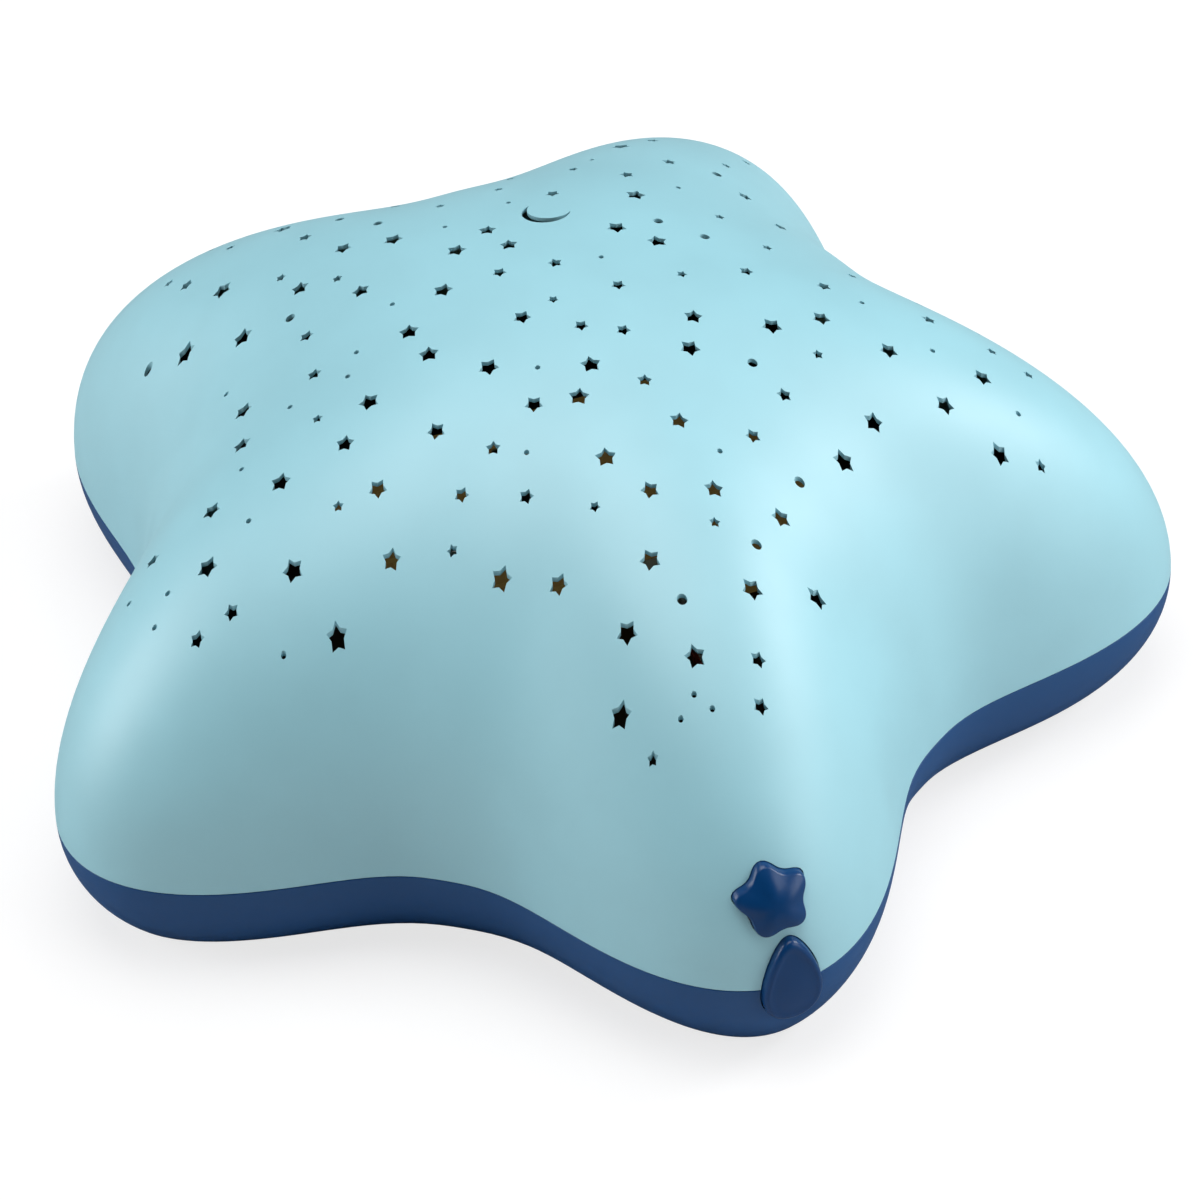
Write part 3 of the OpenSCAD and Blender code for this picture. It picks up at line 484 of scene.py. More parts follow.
def moon_prism():
    """The crescent as a prism whose caps are one face each, because a fan would cross it."""
    outline = moon_hole()
    n = len(outline)
    points = np.concatenate([level(outline, z) for z in (HOLE_LOW, HOLE_HIGH)])
    caps = [list(range(n - 1, -1, -1)), list(range(n, 2 * n))]
    return points, stack_faces(2, n) + caps


hole_outlines = [star_hole(p, r) for places, r in STAR_SIZES for p in places]
hole_outlines += [circle(r, on_chart(p), n) for places, r, n in DOT_SIZES for p in places]
print(len(hole_outlines) + 1, "light holes")

# %% [markdown]
# ## Openings for the buttons
#
# Two holes are cut through the front arm from the front, one in the form of a soft star and one
# in the form of a drop that stands across the seam. Neither stands quite on the arm's middle, and
# the star is turned a little. The same outlines, a running gap smaller, carry the buttons.

# %% Button outlines
STAR_TIP, STAR_WAIST, STAR_LEAN = 6.7, 5.2, 0.89
STAR_SHARPNESS, STAR_TURN = 1.2, math.radians(-10)
DROP_W, DROP_H, DROP_NARROWING = 10.4, 18.2, 0.3
BUTTON_SPACING = 1.0
DROP_PLACE = np.array([0.5, SEAM_Z + 1])
STAR_PLACE = np.array([-1.0, DROP_PLACE[1] + DROP_H / 2 + BUTTON_SPACING + STAR_TIP * STAR_LEAN])
BUTTON_GAP = 0.2
BASE_Z, TAPER = 1.0, 8.75


def soft_star(grow, count=60):
    """Radius swings five times between waist and tip as a raised cosine; the height is squeezed,
    because the star lies on a slope."""
    a = math.tau * np.arange(count) / count
    share = ((1 + np.cos(ARMS * (a - math.pi - STAR_TURN))) / 2) ** STAR_SHARPNESS
    reach = STAR_WAIST + (STAR_TIP - STAR_WAIST) * share + grow
    return np.stack([reach * np.cos(a), reach * np.sin(a) * STAR_LEAN], -1) + STAR_PLACE


def drop(grow, count=64):
    """Ellipse whose half width shrinks with the sine, so it is wider at the bottom."""
    a = math.tau * np.arange(count) / count
    half = DROP_W / 2 * (1 - DROP_NARROWING * np.sin(a)) + grow
    return np.stack([half * np.cos(a), (DROP_H / 2 + grow) * np.sin(a)], -1) + DROP_PLACE


# The outline's radius of curvature at the tip of an arm, from its raised cosine
NOSE_RADIUS = ARM_REACH ** 2 / (SHARPNESS * ARMS ** 2 / 2 * (ARM_REACH - WAIST) + ARM_REACH)
base_side = np.linspace(BASE_Z, SEAM_Z, 400)
crest_side = curve(np.linspace(0, 0.5, 600), CREST)
SIDE_Z = np.concatenate([base_side[:-1], crest_side[:, 1]])
base_reach = ARM_REACH - TAPER * ((SEAM_Z - base_side) / (SEAM_Z - BASE_Z)) ** 2
SIDE_REACH = np.concatenate([base_reach[:-1], crest_side[:, 0]])


def front_reach(x, z):
    """How far the front arm's outside stands in front of the centre: its side view, less the
    round of the nose."""
    return np.interp(z, SIDE_Z, SIDE_REACH) - x ** 2 / (2 * NOSE_RADIUS)


print("front arm at the star button stands", round(float(front_reach(*STAR_PLACE)), 2), "mm out")

# %% [markdown]
# ## The dome
#
# Such a dome is moulded in one piece. It could be made by thickening a single surface, but a
# formula for each side gives a wall that varies: 1.6 mm at the rim, for strength, and half of
# that where the light holes are, because a deep narrow hole swallows light. The outside is a fine
# grid from the seam to the top, with a small round at the lower edge that makes the dark hairline
# at the seam. The inside is the same form set in by the wall, less the columns that take the case
# screws. Booleans join them to a closed shell and punch the holes. Boolean cuts leave slivers
# that would catch the light, so the shading directions of the outside are worked out again from
# the formula.

# %% Dome surfaces
AROUND, CLIMBS = 320, 110                 # points round each ring, and steps of the climb
INNER_AROUND, INNER_CLIMBS = 160, 50
NOSE_CROWD = 0.3
EDGE_ROUND = 0.3
WALL, THIN_WALL = 1.6, 0.8
THINNING = (0.05, 0.3)                    # shares of the climb between which the wall thins
OFF_AXIS = [20, 10]                       # flat ends fan out from here, off the middle line


def star_angles(count):
    """Even steps less a sine, which brings them closer together round the noses."""
    even = FRONT + math.tau * np.arange(count) / count
    return even - NOSE_CROWD / ARMS * np.sin(ARMS * (even - FRONT))


def round_edge(angles, z, toward):
    """Quarter round at the seam: inset falls with the sine as the height moves by 1 - cosine."""
    turn = np.radians([0, 30, 60, 90])
    return [level(rim(angles, EDGE_ROUND * (1 - math.sin(t))),
                  z + toward * EDGE_ROUND * (1 - math.cos(t))) for t in turn]


def dome_outside():
    """The rounded edge, and above it a ring of the formula's points for each step of the climb."""
    angles = star_angles(AROUND)
    climbs = np.arange(1, CLIMBS) / CLIMBS
    rings = round_edge(angles, SEAM_Z, 1) + [dome(angles, np.full(AROUND, s)) for s in climbs]
    return stack(rings, [*OFF_AXIS, SEAM_Z], [0, CENTRE_Y, TOP_Z])


def dome_inside():
    """The outside moved in by the wall along its own normal. It starts below the seam, so that
    the cut goes right through."""
    angles, climbs = star_angles(INNER_AROUND), np.arange(1, INNER_CLIMBS) / INNER_CLIMBS
    rings = [level(rim(angles, WALL), z) for z in (SEAM_Z - PAST, SEAM_Z)]
    for s in climbs:
        share = np.full(len(angles), s)
        wall = np.interp(s, THINNING, (WALL, THIN_WALL))
        rings.append(dome(angles, share) - wall * dome_normal(angles, share))
    return stack(rings, [*OFF_AXIS, SEAM_Z - PAST], [0, CENTRE_Y, TOP_Z - THIN_WALL])


dome_shell = piece("star_dome", *dome_outside())
hollow = piece("hollow", *dome_inside())
print("dome outside:", len(dome_shell.data.polygons), "faces, inside:", len(hollow.data.polygons))

# %% Cuts in the dome
SCREW_CIRCLE, DOME_COLUMN_R = 64.0, 4.0
CASE_PILOT_R, CASE_PILOT_DEPTH = 1.5, 13.0
TRAY_TOP, LIP_HEIGHT = 25.8, 2.6
REBATE, REBATE_GAP = 0.3, 0.4
BAR_TURN = 0.4                            # keeps the bars' corners off the notches' middle lines
STAR_CUT_FROM, DROP_CUT_FROM, CUT_TO = 90, 100, ARM_REACH + 5


def between_arms(radius, low, high):
    """A round bar in each of the five notches."""
    return joined([prism(circle(radius, place, turn=BAR_TURN), low, high)
                   for place in five_places(SCREW_CIRCLE, 0.5)])


carve(hollow, piece("columns", *between_arms(DOME_COLUMN_R, TRAY_TOP, TOP_Z + PAST)))
carve(dome_shell, hollow)
light_holes = [prism(outline, HOLE_LOW, HOLE_HIGH) for outline in hole_outlines] + [moon_prism()]
button_cut = joined([prism(soft_star(BUTTON_GAP), STAR_CUT_FROM, CUT_TO, "Y"),
                     prism(drop(BUTTON_GAP), DROP_CUT_FROM, CUT_TO, "Y")])
for name, cut in (
        ("rebate", prism(rim(star_angles(INNER_AROUND), WALL - REBATE), SEAM_Z - PAST,
                         SEAM_Z + LIP_HEIGHT + REBATE_GAP)),
        ("case_holes", between_arms(CASE_PILOT_R, TRAY_TOP - PAST, TRAY_TOP + CASE_PILOT_DEPTH)),
        ("light_holes", joined(light_holes)),
        ("button_openings", button_cut)):
    carve(dome_shell, piece(name, *cut))
print("dome:", len(dome_shell.data.polygons), "faces")

# %% Smooth shading for the dome
ON_SURFACE = 0.06                         # a point this near to the formula lies on it
SHARP_ANGLE = 20
SAME_WAY = 0.94                           # cosine between a face and the formula's direction


def climb_of(points):
    """Share of the climb at points near the dome: halves an interval until the formula's own
    angle of elevation, seen from the seam's middle, agrees with the point's."""
    angle = np.arctan2(points[:, 1] - CENTRE_Y, points[:, 0])
    reach = np.hypot(points[:, 0], points[:, 1] - CENTRE_Y)
    wanted = np.arctan2(points[:, 2] - SEAM_Z, reach)
    low, high = np.zeros(len(points)), np.ones(len(points))
    for _ in range(30):
        mid = (low + high) / 2
        guess = dome(angle, mid)
        elevation = np.arctan2(guess[:, 2] - SEAM_Z, np.hypot(guess[:, 0], guess[:, 1] - CENTRE_Y))
        low, high = np.where(elevation < wanted, mid, low), np.where(elevation < wanted, high, mid)
    return angle, (low + high) / 2


def mesh_array(items, key, width, kind=float):
    """A property of all vertices, faces or corners as one array."""
    flat = np.zeros(len(items) * width, kind)
    items.foreach_get(key, flat)
    return flat.reshape(-1, width) if width > 1 else flat


def smooth_outside(mesh, outside):
    """Keeps sharp edges sharp, and gives each corner that lies on the outside the direction
    that the formula gives there. Other corners keep Blender's own."""
    mesh.shade_smooth()
    mesh.set_sharp_from_angle(angle=math.radians(SHARP_ANGLE))
    points = mesh_array(mesh.vertices, "co", 3) / MM
    near, directions = outside(points)
    corner = mesh_array(mesh.loops, "vertex_index", 1, np.int32)
    sizes = mesh_array(mesh.polygons, "loop_total", 1, np.int32)
    flat = np.repeat(mesh_array(mesh.polygons, "normal", 3), sizes, axis=0)
    wanted = directions[corner]
    use = near[corner] & ((flat * wanted).sum(1) > SAME_WAY)
    mesh.normals_split_custom_set(np.where(use[:, None], wanted, 0.0).tolist())
    return int(use.sum())


def dome_directions(points):
    """Which points lie on the dome's outside over its rounded edge, and the way it faces there."""
    angle, climb = climb_of(points)
    near = np.linalg.norm(dome(angle, climb) - points, axis=1) < ON_SURFACE
    near &= points[:, 2] > SEAM_Z + EDGE_ROUND - 0.01
    return near, dome_normal(angle, climb)


print("corners shaded by formula:", smooth_outside(dome_shell.data, dome_directions))
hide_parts("dome")
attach(dome_shell, "housing")

# %% [markdown]
# ## The base
#
# The navy base follows the dome's outline and draws in towards the table along a parabola. It is
# a shell as well: outside less inside, plus the lip that centres the dome, the battery bay and
# the screw columns, less the recess for the door, the pockets for the feet and the screw holes.
# Round edges at the seam and at the underside catch thin lines of light, as moulded edges do.

# %% Base surfaces
UNDER_ROUND = 0.8
BASE_WALL, BASE_FLOOR = 2.2, 2.2
LIP_INSET, LIP_WALL, ROOT_DEPTH, ROOT_SUNK = 1.45, 1.2, 4.0, 0.4
LIP_STEP = (0.4, 0.01)                    # depths between which the lip steps off the wall


def base_ring(angles, z, wall=0.0):
    """Outline at a height: inset by a wall, plus a taper that grows as the square of the depth."""
    return level(rim(angles, wall + TAPER * ((SEAM_Z - z) / (SEAM_Z - BASE_Z)) ** 2), z)


def base_outside():
    """Quarter round at the underside, the tapered sides, and the rounded edge at the seam."""
    angles = star_angles(AROUND)
    turn = np.radians([0, 25, 50, 75])
    foot = [level(rim(angles, TAPER + UNDER_ROUND * (1 - math.sin(t))),
                  BASE_Z + UNDER_ROUND * (1 - math.cos(t))) for t in turn]
    heights = np.linspace(BASE_Z + UNDER_ROUND, SEAM_Z - EDGE_ROUND, 14)
    sides = [base_ring(angles, z) for z in heights[:-1]]
    return stack(foot + sides + round_edge(angles, SEAM_Z, -1)[::-1],
                 [*OFF_AXIS, BASE_Z], [*OFF_AXIS, SEAM_Z])


def base_inside():
    """The tapered sides moved in by the wall, from the floor to past the seam."""
    angles = star_angles(INNER_AROUND)
    rings = [base_ring(angles, z, BASE_WALL) for z in np.linspace(BASE_Z + BASE_FLOOR, SEAM_Z, 8)]
    return stack(rings + [level(rim(angles, BASE_WALL), SEAM_Z + PAST)],
                 [*OFF_AXIS, BASE_Z + BASE_FLOOR], [*OFF_AXIS, SEAM_Z + PAST])


def lip():
    """Ring that stands over the seam inside the dome, with its root below on the base's wall."""
    angles = star_angles(INNER_AROUND)
    low, high = SEAM_Z - ROOT_DEPTH, SEAM_Z + LIP_HEIGHT
    root = BASE_WALL - ROOT_SUNK
    rings = [level(rim(angles, inset), z) for inset, z in (
        (root, low), (root, SEAM_Z - LIP_STEP[0]), (LIP_INSET, SEAM_Z - LIP_STEP[1]),
        (LIP_INSET, high))]
    solid = piece("lip", *stack(rings, [*OFF_AXIS, low], [*OFF_AXIS, high]))
    return carve(solid, piece("lip_bore", *prism(rim(angles, LIP_INSET + LIP_WALL), low - PAST,
                                                 high + PAST)))


base_shell = piece("star_base", *base_outside())
carve(base_shell, piece("inside", *base_inside()))
carve(base_shell, lip(), "UNION")
print("base with its lip:", len(base_shell.data.polygons), "faces")

# %% Battery bay, columns and cuts in the base
BAY_LOW, BAY_ROOF, BAY_WALL = 3.0, 18.0, 1.8
BAY_W, BAY_L, DOOR_LEDGE, DOOR_GAP, EAR_RADIUS = 45.0, 56.4, 2.0, 0.25, 6.0
DOOR_W, DOOR_L = BAY_W + 2 * DOOR_LEDGE, BAY_L + 2 * DOOR_LEDGE
EAR_REACH = DOOR_L / 2 + 4.5
DOOR_FRAME, FRAME_HEIGHT = 2.75, 2.0
SUNK = 0.5                                # how deep joined parts sit in one another
HEAD_BORE_R, HEAD_BORE_TOP, SHANK_HOLE_R = 3.3, 14.0, 1.7
DOOR_POST_R, DOOR_POST_TOP, DOOR_PILOT_R, DOOR_PILOT_TOP = 4.0, 14.0, 1.25, 13.0
COLUMN_R, COLUMN_TOP = 4.5, SEAM_Z + 3
POST_X, POST_W, POST_T = 11.5, 5.5, 5.2   # posts behind the button board
POST_TOP = TRAY_TOP + 0.5
FOOT_CIRCLE, FOOT_R, FOOT_GAP, FOOT_SEAT = 88.0, 6.0, 0.1, 1.0


def box_between(x, y, z):
    """Box from three pairs of limits, with y counted from the star's centre."""
    corners = [[x[0], y[0]], [x[1], y[0]], [x[1], y[1]], [x[0], y[1]]]
    return prism(np.array(corners, float) + [0, CENTRE_Y], *z)


def door_outline(grow):
    """Rectangle with a round ear at each end: half of it, and the same turned half way round."""
    w, l, e = DOOR_W / 2 + grow, DOOR_L / 2 + grow, EAR_RADIUS + grow
    t = np.linspace(0, math.pi, 25)
    half = np.concatenate([[[w, -l], [w, l], [e, l]],
                           np.stack([e * np.cos(t), EAR_REACH + e * np.sin(t)], -1), [[-e, l]]])
    return np.concatenate([half, -half]) + [0, CENTRE_Y]


board = [np.array(corner) / MM - [0, CENTRE_Y, 0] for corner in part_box("button_board")]


def board_post(side):
    """Upright block behind one end of the button board."""
    back = board[1][1]
    return box_between([side * POST_X - POST_W / 2, side * POST_X + POST_W / 2],
                       [back, back + POST_T], [BASE_Z + SUNK, POST_TOP])


ears = [about_centre(0, side * EAR_REACH) for side in (-1, 1)]
inner_parts = [
    prism(door_outline(DOOR_FRAME), BASE_Z + SUNK, BAY_LOW + FRAME_HEIGHT),
    box_between([-BAY_W / 2 - BAY_WALL, BAY_W / 2 + BAY_WALL],
                [-BAY_L / 2 - BAY_WALL, BAY_L / 2 + BAY_WALL], [BAY_LOW, BAY_ROOF + BAY_WALL]),
    between_arms(COLUMN_R, BASE_Z + SUNK, COLUMN_TOP)]
inner_parts += [prism(circle(DOOR_POST_R, ear), BAY_LOW, DOOR_POST_TOP) for ear in ears]
inner_parts += [board_post(side) for side in (-1, 1)]
for part in inner_parts:
    carve(base_shell, piece("inner_part", *part), "UNION")
cuts = [
    prism(door_outline(DOOR_GAP), BASE_Z - PAST, BAY_LOW),
    box_between([-BAY_W / 2, BAY_W / 2], [-BAY_L / 2, BAY_L / 2], [BASE_Z, BAY_ROOF]),
    between_arms(HEAD_BORE_R, BASE_Z - PAST, HEAD_BORE_TOP),
    between_arms(SHANK_HOLE_R, BASE_Z, COLUMN_TOP + PAST)]
cuts += [prism(circle(FOOT_R + FOOT_GAP, place), BASE_Z - PAST, BASE_Z + FOOT_SEAT)
         for place in five_places(FOOT_CIRCLE, 0)]
cuts += [prism(circle(DOOR_PILOT_R, ear, 32), BASE_Z, DOOR_PILOT_TOP) for ear in ears]
for part in cuts + [button_cut]:
    carve(base_shell, piece("cut_part", *part))
print("base with bay and columns:", len(base_shell.data.polygons), "faces")

# %% Smooth shading for the base
def base_directions(points):
    """Sides of the base: the way out at a height is level, tipped down by the taper's slope."""
    angle = np.arctan2(points[:, 1] - CENTRE_Y, points[:, 0])
    depth = (SEAM_Z - points[:, 2]) / (SEAM_Z - BASE_Z)
    for _ in range(6):
        guess = rim(angle, TAPER * depth ** 2)
        angle += (np.arctan2(points[:, 1] - CENTRE_Y, points[:, 0])
                  - np.arctan2(guess[:, 1] - CENTRE_Y, guess[:, 0]))
    ahead = rim(angle + 1e-3, TAPER * depth ** 2) - rim(angle - 1e-3, TAPER * depth ** 2)
    slope = 2 * TAPER * depth / (SEAM_Z - BASE_Z)
    outward = unit(np.stack([ahead[:, 1], -ahead[:, 0]], -1))
    near = np.linalg.norm(rim(angle, TAPER * depth ** 2) - points[:, :2], axis=1) < ON_SURFACE
    near &= points[:, 2] > BASE_Z + UNDER_ROUND - 0.01
    near &= points[:, 2] < SEAM_Z - EDGE_ROUND + 0.01
    return near, unit(np.column_stack([outward, -slope]))


print("corners shaded by formula:", smooth_outside(base_shell.data, base_directions))
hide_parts("base_shell")
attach(base_shell, "housing")

# %% [markdown]
# ## The buttons
#
# Both buttons are soft plastic caps. The star is pillowed like a cushion: each ring towards the
# middle rises less than the one before. The drop is nearly flat with a round raised edge. A
# sculpted blob could look the same from the front, but rings laid on the arm's own slope keep an
# even height all round. A flange behind the wall keeps each cap from falling out, and a stem runs
# back to the plunger of the switch.

# %% Button shapes
FLANGE_T, FLANGE_RIM, STEM_R, SEAT_GAP = 1.5, 1.5, 2.0, 0.4
SLOPE_BLUR = 2.5
STAR_LOW, STAR_HIGH = 0.6, 2.6            # how far the star stands out at its edge and middle
CUSHION_EDGE, CUSHION_EDGE_RISE, CUSHION_POWER = 0.06, 0.45, 2.6
DROP_PROFILE = [(0, 0.9), (0.01, 1.25), (0.035, 1.55), (0.075, 1.72), (0.12, 1.78), (0.16, 1.74),
                (0.21, 1.62), (0.27, 1.52), (0.4, 1.47), (0.6, 1.45), (0.8, 1.45), (1, 1.45)]


def cap_ring(outline, rise):
    """Outline in the front view, laid on the arm's own slope and stood out by a rise. The slope is
    averaged over a few heights, so the bend at the seam doesn't show on a cap that crosses it."""
    x, z = outline.T
    reach = np.mean([front_reach(x, z + d) for d in np.linspace(-SLOPE_BLUR, SLOPE_BLUR, 9)], axis=0)
    return np.stack([x, CENTRE_Y - reach - rise, z], -1)


def seat_reach(outline):
    """Least reach of the shell's inside over an outline, less a gap: the wall is measured square
    to the shell, so its depth grows with the slope."""
    x, z = outline.T
    across = front_reach(x + 0.5, z) - front_reach(x - 0.5, z)
    upward = front_reach(x, z + 0.5) - front_reach(x, z - 0.5)
    inside = front_reach(x, z) - BASE_WALL * np.sqrt(1 + across ** 2 + upward ** 2)
    return float(inside.min()) - SEAT_GAP


def cap(outline, place, seat, profile):
    """Rings of shrinking outlines from the seat to the face. The profile lists how far each ring
    is drawn in, as a share from edge to middle, and how far it stands out."""
    back = CENTRE_Y - seat + SUNK
    rings = [np.stack([outline[:, 0], np.full(len(outline), back), outline[:, 1]], -1)]
    for share, rise in profile[:-1]:
        rings.append(cap_ring(place + (outline - place) * (1 - share), rise))
    return stack(rings, [place[0], back, place[1]], cap_ring(place[None], profile[-1][1])[0])


def cushion_profile():
    """A quarter round at the edge, then 1 less a power of what is left of the way to the middle."""
    edge, first_rise = CUSHION_EDGE, CUSHION_EDGE_RISE
    turn = np.radians(np.linspace(0, 90, 6))
    share = np.linspace(edge, 1, 16)[1:]
    left = 1 - (share - edge) / (1 - edge)
    along = np.concatenate([edge * (1 - np.cos(turn)), share])
    rise = np.concatenate([first_rise * np.sin(turn),
                           first_rise + (1 - first_rise) * (1 - left ** CUSHION_POWER)])
    return list(zip(along, STAR_LOW + (STAR_HIGH - STAR_LOW) * rise))


print("star cap stands out", STAR_HIGH, "mm, drop cap", max(rise for _, rise in DROP_PROFILE))

# %% Buttons
def button(name, outline, place, seat, profile, flange, plunger):
    """Cap, flange and stem. The stem runs back to the face of the plunger that it pushes."""
    made = piece(name, *cap(outline, place, seat, profile))
    carve(made, piece("flange", *prism(flange, seat - FLANGE_T, seat, "Y")), "UNION")
    low, high = (np.array(corner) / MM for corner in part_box(plunger))
    stem = prism(circle(STEM_R, (low + high)[[0, 2]] / 2, 32), CENTRE_Y - low[1],
                 seat - FLANGE_T + SUNK, "Y")
    carve(made, piece("stem", *stem), "UNION")
    made.data.shade_smooth()
    made.data.set_sharp_from_angle(angle=math.radians(40))
    return made


star_flange = circle(STAR_TIP + FLANGE_RIM, STAR_PLACE)
star_seat, drop_seat = seat_reach(star_flange[::4]), seat_reach(drop(FLANGE_RIM))
star_cap = button("star_cap_button", soft_star(0, 120), STAR_PLACE, star_seat, cushion_profile(),
                  star_flange, "star_plunger")
drop_cap = button("drop_cap_button", drop(0, 96), DROP_PLACE, drop_seat, DROP_PROFILE,
                  drop(FLANGE_RIM), "drop_plunger")
for thing, node, body in ((star_cap, "star_button", "star_cap"),
                          (drop_cap, "drop_button", "drop_cap")):
    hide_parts(node)
    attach(thing, body)
print("seats in mm:", round(star_seat, 2), round(drop_seat, 2))

# %% [markdown]
# ## Finishes
#
# The dome is a satin plastic: broad, soft highlights come from a fairly high roughness, and a
# very fine grain breaks them up a little, as the texture of the mould does. The base is the same
# sort of plastic in navy. The buttons are smoother.

# %% Plastics
AQUA = (0.345, 0.67, 0.765)
NAVY = (0.015, 0.082, 0.24)
BUTTON_BLUE = (0.0, 0.044, 0.162)


def moulded(name, colour, roughness, shine):
    """Moulded plastic: a hint of uneven colour, patchy gloss and a fine grain."""
    made = Finish(name)
    cloud = made.noise(35, 3).smooth(0.3, 0.7)
    return made.surface(base_color=made.mix(cloud, *shades(colour, 0.97, 1.03)),
                        roughness=roughness + made.noise(120, 2) * 0.06 - 0.03,
                        specular_ior_level=shine, normal=made.bump(made.noise(1800, 2), 3e-6))


dress(dome_shell, moulded("aqua_plastic", AQUA, 0.5, 1.0))
navy = moulded("navy_plastic", NAVY, 0.5, 0.3)
dress(base_shell, navy)
button_blue = moulded("button_plastic", BUTTON_BLUE, 0.3, 0.45)
for thing in (star_cap, drop_cap):
    dress(thing, button_blue)
print("plastics:", [m.name for m in bpy.data.materials])

# %% [markdown]
# ## Finishes of the inner parts
#
# The boards are brown paper laminate with copper tracks under a lacquer and tinned solder pads.
# Tracks and pads are patterns: a brick pattern's joints make the tracks, and the cores of
# Voronoi cells make the pads. Parts of two substances, such as a lamp and its legs, are one
# mesh, so a mask worked out from the position tells plastic from metal.

# %% Boards
BLACK, TIN = (0.014, 0.014, 0.016), (0.62, 0.62, 0.6)
TRACK_W, TRACK_L, TRACK_PITCH = 0.0006, 0.011, 0.0047      # in metres, as Object coordinates are
PADS_PER_METRE, PAD_SIZE = 170.0, 0.17


def laminate(name, flat_axis):
    """Circuit board. Its broad faces carry tracks and pads, and its cut edges are bare. A faint
    glow stands for the light that soaks through the thin shell and falls on the board."""
    made = Finish(name)
    normal = made.node("ShaderNodeTexCoord", out="Normal")
    broad = (made.axes(of=normal)[flat_axis] * MM).size().above(0.5)
    turn = made.node("ShaderNodeMapping", inputs={
        "Vector": made.place, "Rotation": (math.pi / 2 if flat_axis == 1 else 0, 0, 0)})
    joints = made.node("ShaderNodeTexBrick", {"offset": 0.37}, {
        "Vector": turn, "Scale": 1.0, "Mortar Size": TRACK_W, "Mortar Smooth": 0.0,
        "Brick Width": TRACK_L, "Row Height": TRACK_PITCH}, out="Fac")
    core = made.node("ShaderNodeTexVoronoi", {"feature": "F1"}, {
        "Vector": turn, "Scale": PADS_PER_METRE, "Randomness": 0.35}, out="Distance")
    track = joints * broad
    pad = (1 - core.above(PAD_SIZE)) * broad
    paper = made.mix(made.noise(260, 4, 0.6), (0.23, 0.13, 0.05), (0.36, 0.22, 0.09))
    lacquered = made.mix(track, paper, (0.42, 0.3, 0.12))
    return made.surface(base_color=made.mix(pad, lacquered, TIN), metallic=pad,
                        roughness=0.42 - pad * 0.12 + made.noise(500) * 0.1,
                        emission_color=made.mix(pad, (0.04, 0.026, 0.007), (0.02, 0.014, 0.004)),
                        emission_strength=1.0, normal=made.bump(track * 0.5 + pad, 6e-5))


dress(nodes["main_board"], laminate("main_laminate", 2))
dress(nodes["button_board"], laminate("button_laminate", 1))
print("boards dressed, pads", round(PAD_SIZE / PADS_PER_METRE / MM, 1), "mm in radius")

# %% Parts on the boards
LEG_REACH, RESISTOR_END = 1.05, 1.15
CAN_LID_R, CAN_LID_DEPTH = 3.3, 0.4


def box_mm(node):
    """A frame node's low and high corner, in mm."""
    return [np.array(corner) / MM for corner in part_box(node)]


def black_plastic(name, roughness, grain):
    """Matt black plastic with a grain."""
    made = Finish(name)
    return made.surface(base_color=made.mix(made.noise(90, 3), *shades(BLACK, 0.8, 1.25)),
                        roughness=roughness + made.noise(200, 2) * 0.08,
                        normal=made.bump(made.noise(1500, 2), grain))


def part_of_two(name, colour, metal, roughness=0.35, metal_colour=TIN, **more):
    """Finish of a part that is metal where a mask says so. The mask is made by a function."""
    made = Finish(name)
    share = metal(made)
    cloud = made.noise(300, 3)
    plastic = made.mix(cloud, *shades(colour, 0.9, 1.1))
    return made.surface(base_color=made.mix(share, plastic, metal_colour),
                        metallic=share, roughness=roughness - share * 0.08 + cloud * 0.08,
                        normal=made.bump(made.noise(1800, 2), 4e-6), **more)


def chip_legs(made):
    """Legs stand out on both sides of the body."""
    low, high = box_mm("controller_chip")
    return made.axes((low + high) / 2)[1].size().above((high[1] - low[1]) / 2 - LEG_REACH)


def can_top(made):
    """The bare round lid inside the sleeve's curled edge."""
    low, high = box_mm("capacitor")
    x, y, z = made.axes([*(low[:2] + high[:2]) / 2, high[2]])
    return (1 - (x * x + y * y).above(CAN_LID_R ** 2)) * z.above(-CAN_LID_DEPTH)


def lamp_legs(made):
    """Everything below the main board's upper face."""
    return 1 - made.axes()[2].above(box_mm("main_board")[1][2] - 0.05)


def resistor_ends(made):
    """Tinned ends, beyond a reach on both sides of the middle."""
    low, high = box_mm("chip_resistors")
    return made.axes((low + high) / 2)[1].size().above(RESISTOR_END)


tray_black = black_plastic("tray_black", 0.55, 4e-6)
for name in ("light_tray", "lamp_collar", "switch_housings"):
    dress(nodes[name], tray_black)
dress(nodes["controller_chip"], part_of_two("chip_finish", (0.02, 0.02, 0.022), chip_legs, 0.45))
dress(nodes["capacitor"], part_of_two("sleeve", (0.02, 0.028, 0.05), can_top, 0.25,
                                      (0.75, 0.76, 0.78)))
dress(nodes["chip_resistors"], part_of_two("resistor_finish", (0.03, 0.026, 0.024), resistor_ends))
dress(nodes["lamps"], part_of_two("lamp_resin", (0.86, 0.9, 0.93), lamp_legs, 0.08,
                                  transmission_weight=0.8, ior=1.5))
print("parts on the boards dressed")

# %% [markdown]
# ## Wires, springs, cells and screws
#
# The ribbon lead has a rib over each of its wires and one marked edge. The cells lie head to
# tail, so the mask for their metal ends and their light band runs the other way in the middle
# one. Sheet metal and springs are nickel with a drawn grain, the screws are zinc, and the feet
# are a dull rubber.

# %% Wires and cells
RIB_PITCH, CELL_PITCH = 1.0, 15.0
CELL_FOOT, CELL_NUB, BAND_LOW, BAND_HIGH = 3.2, 4.5, 14.0, 7.0


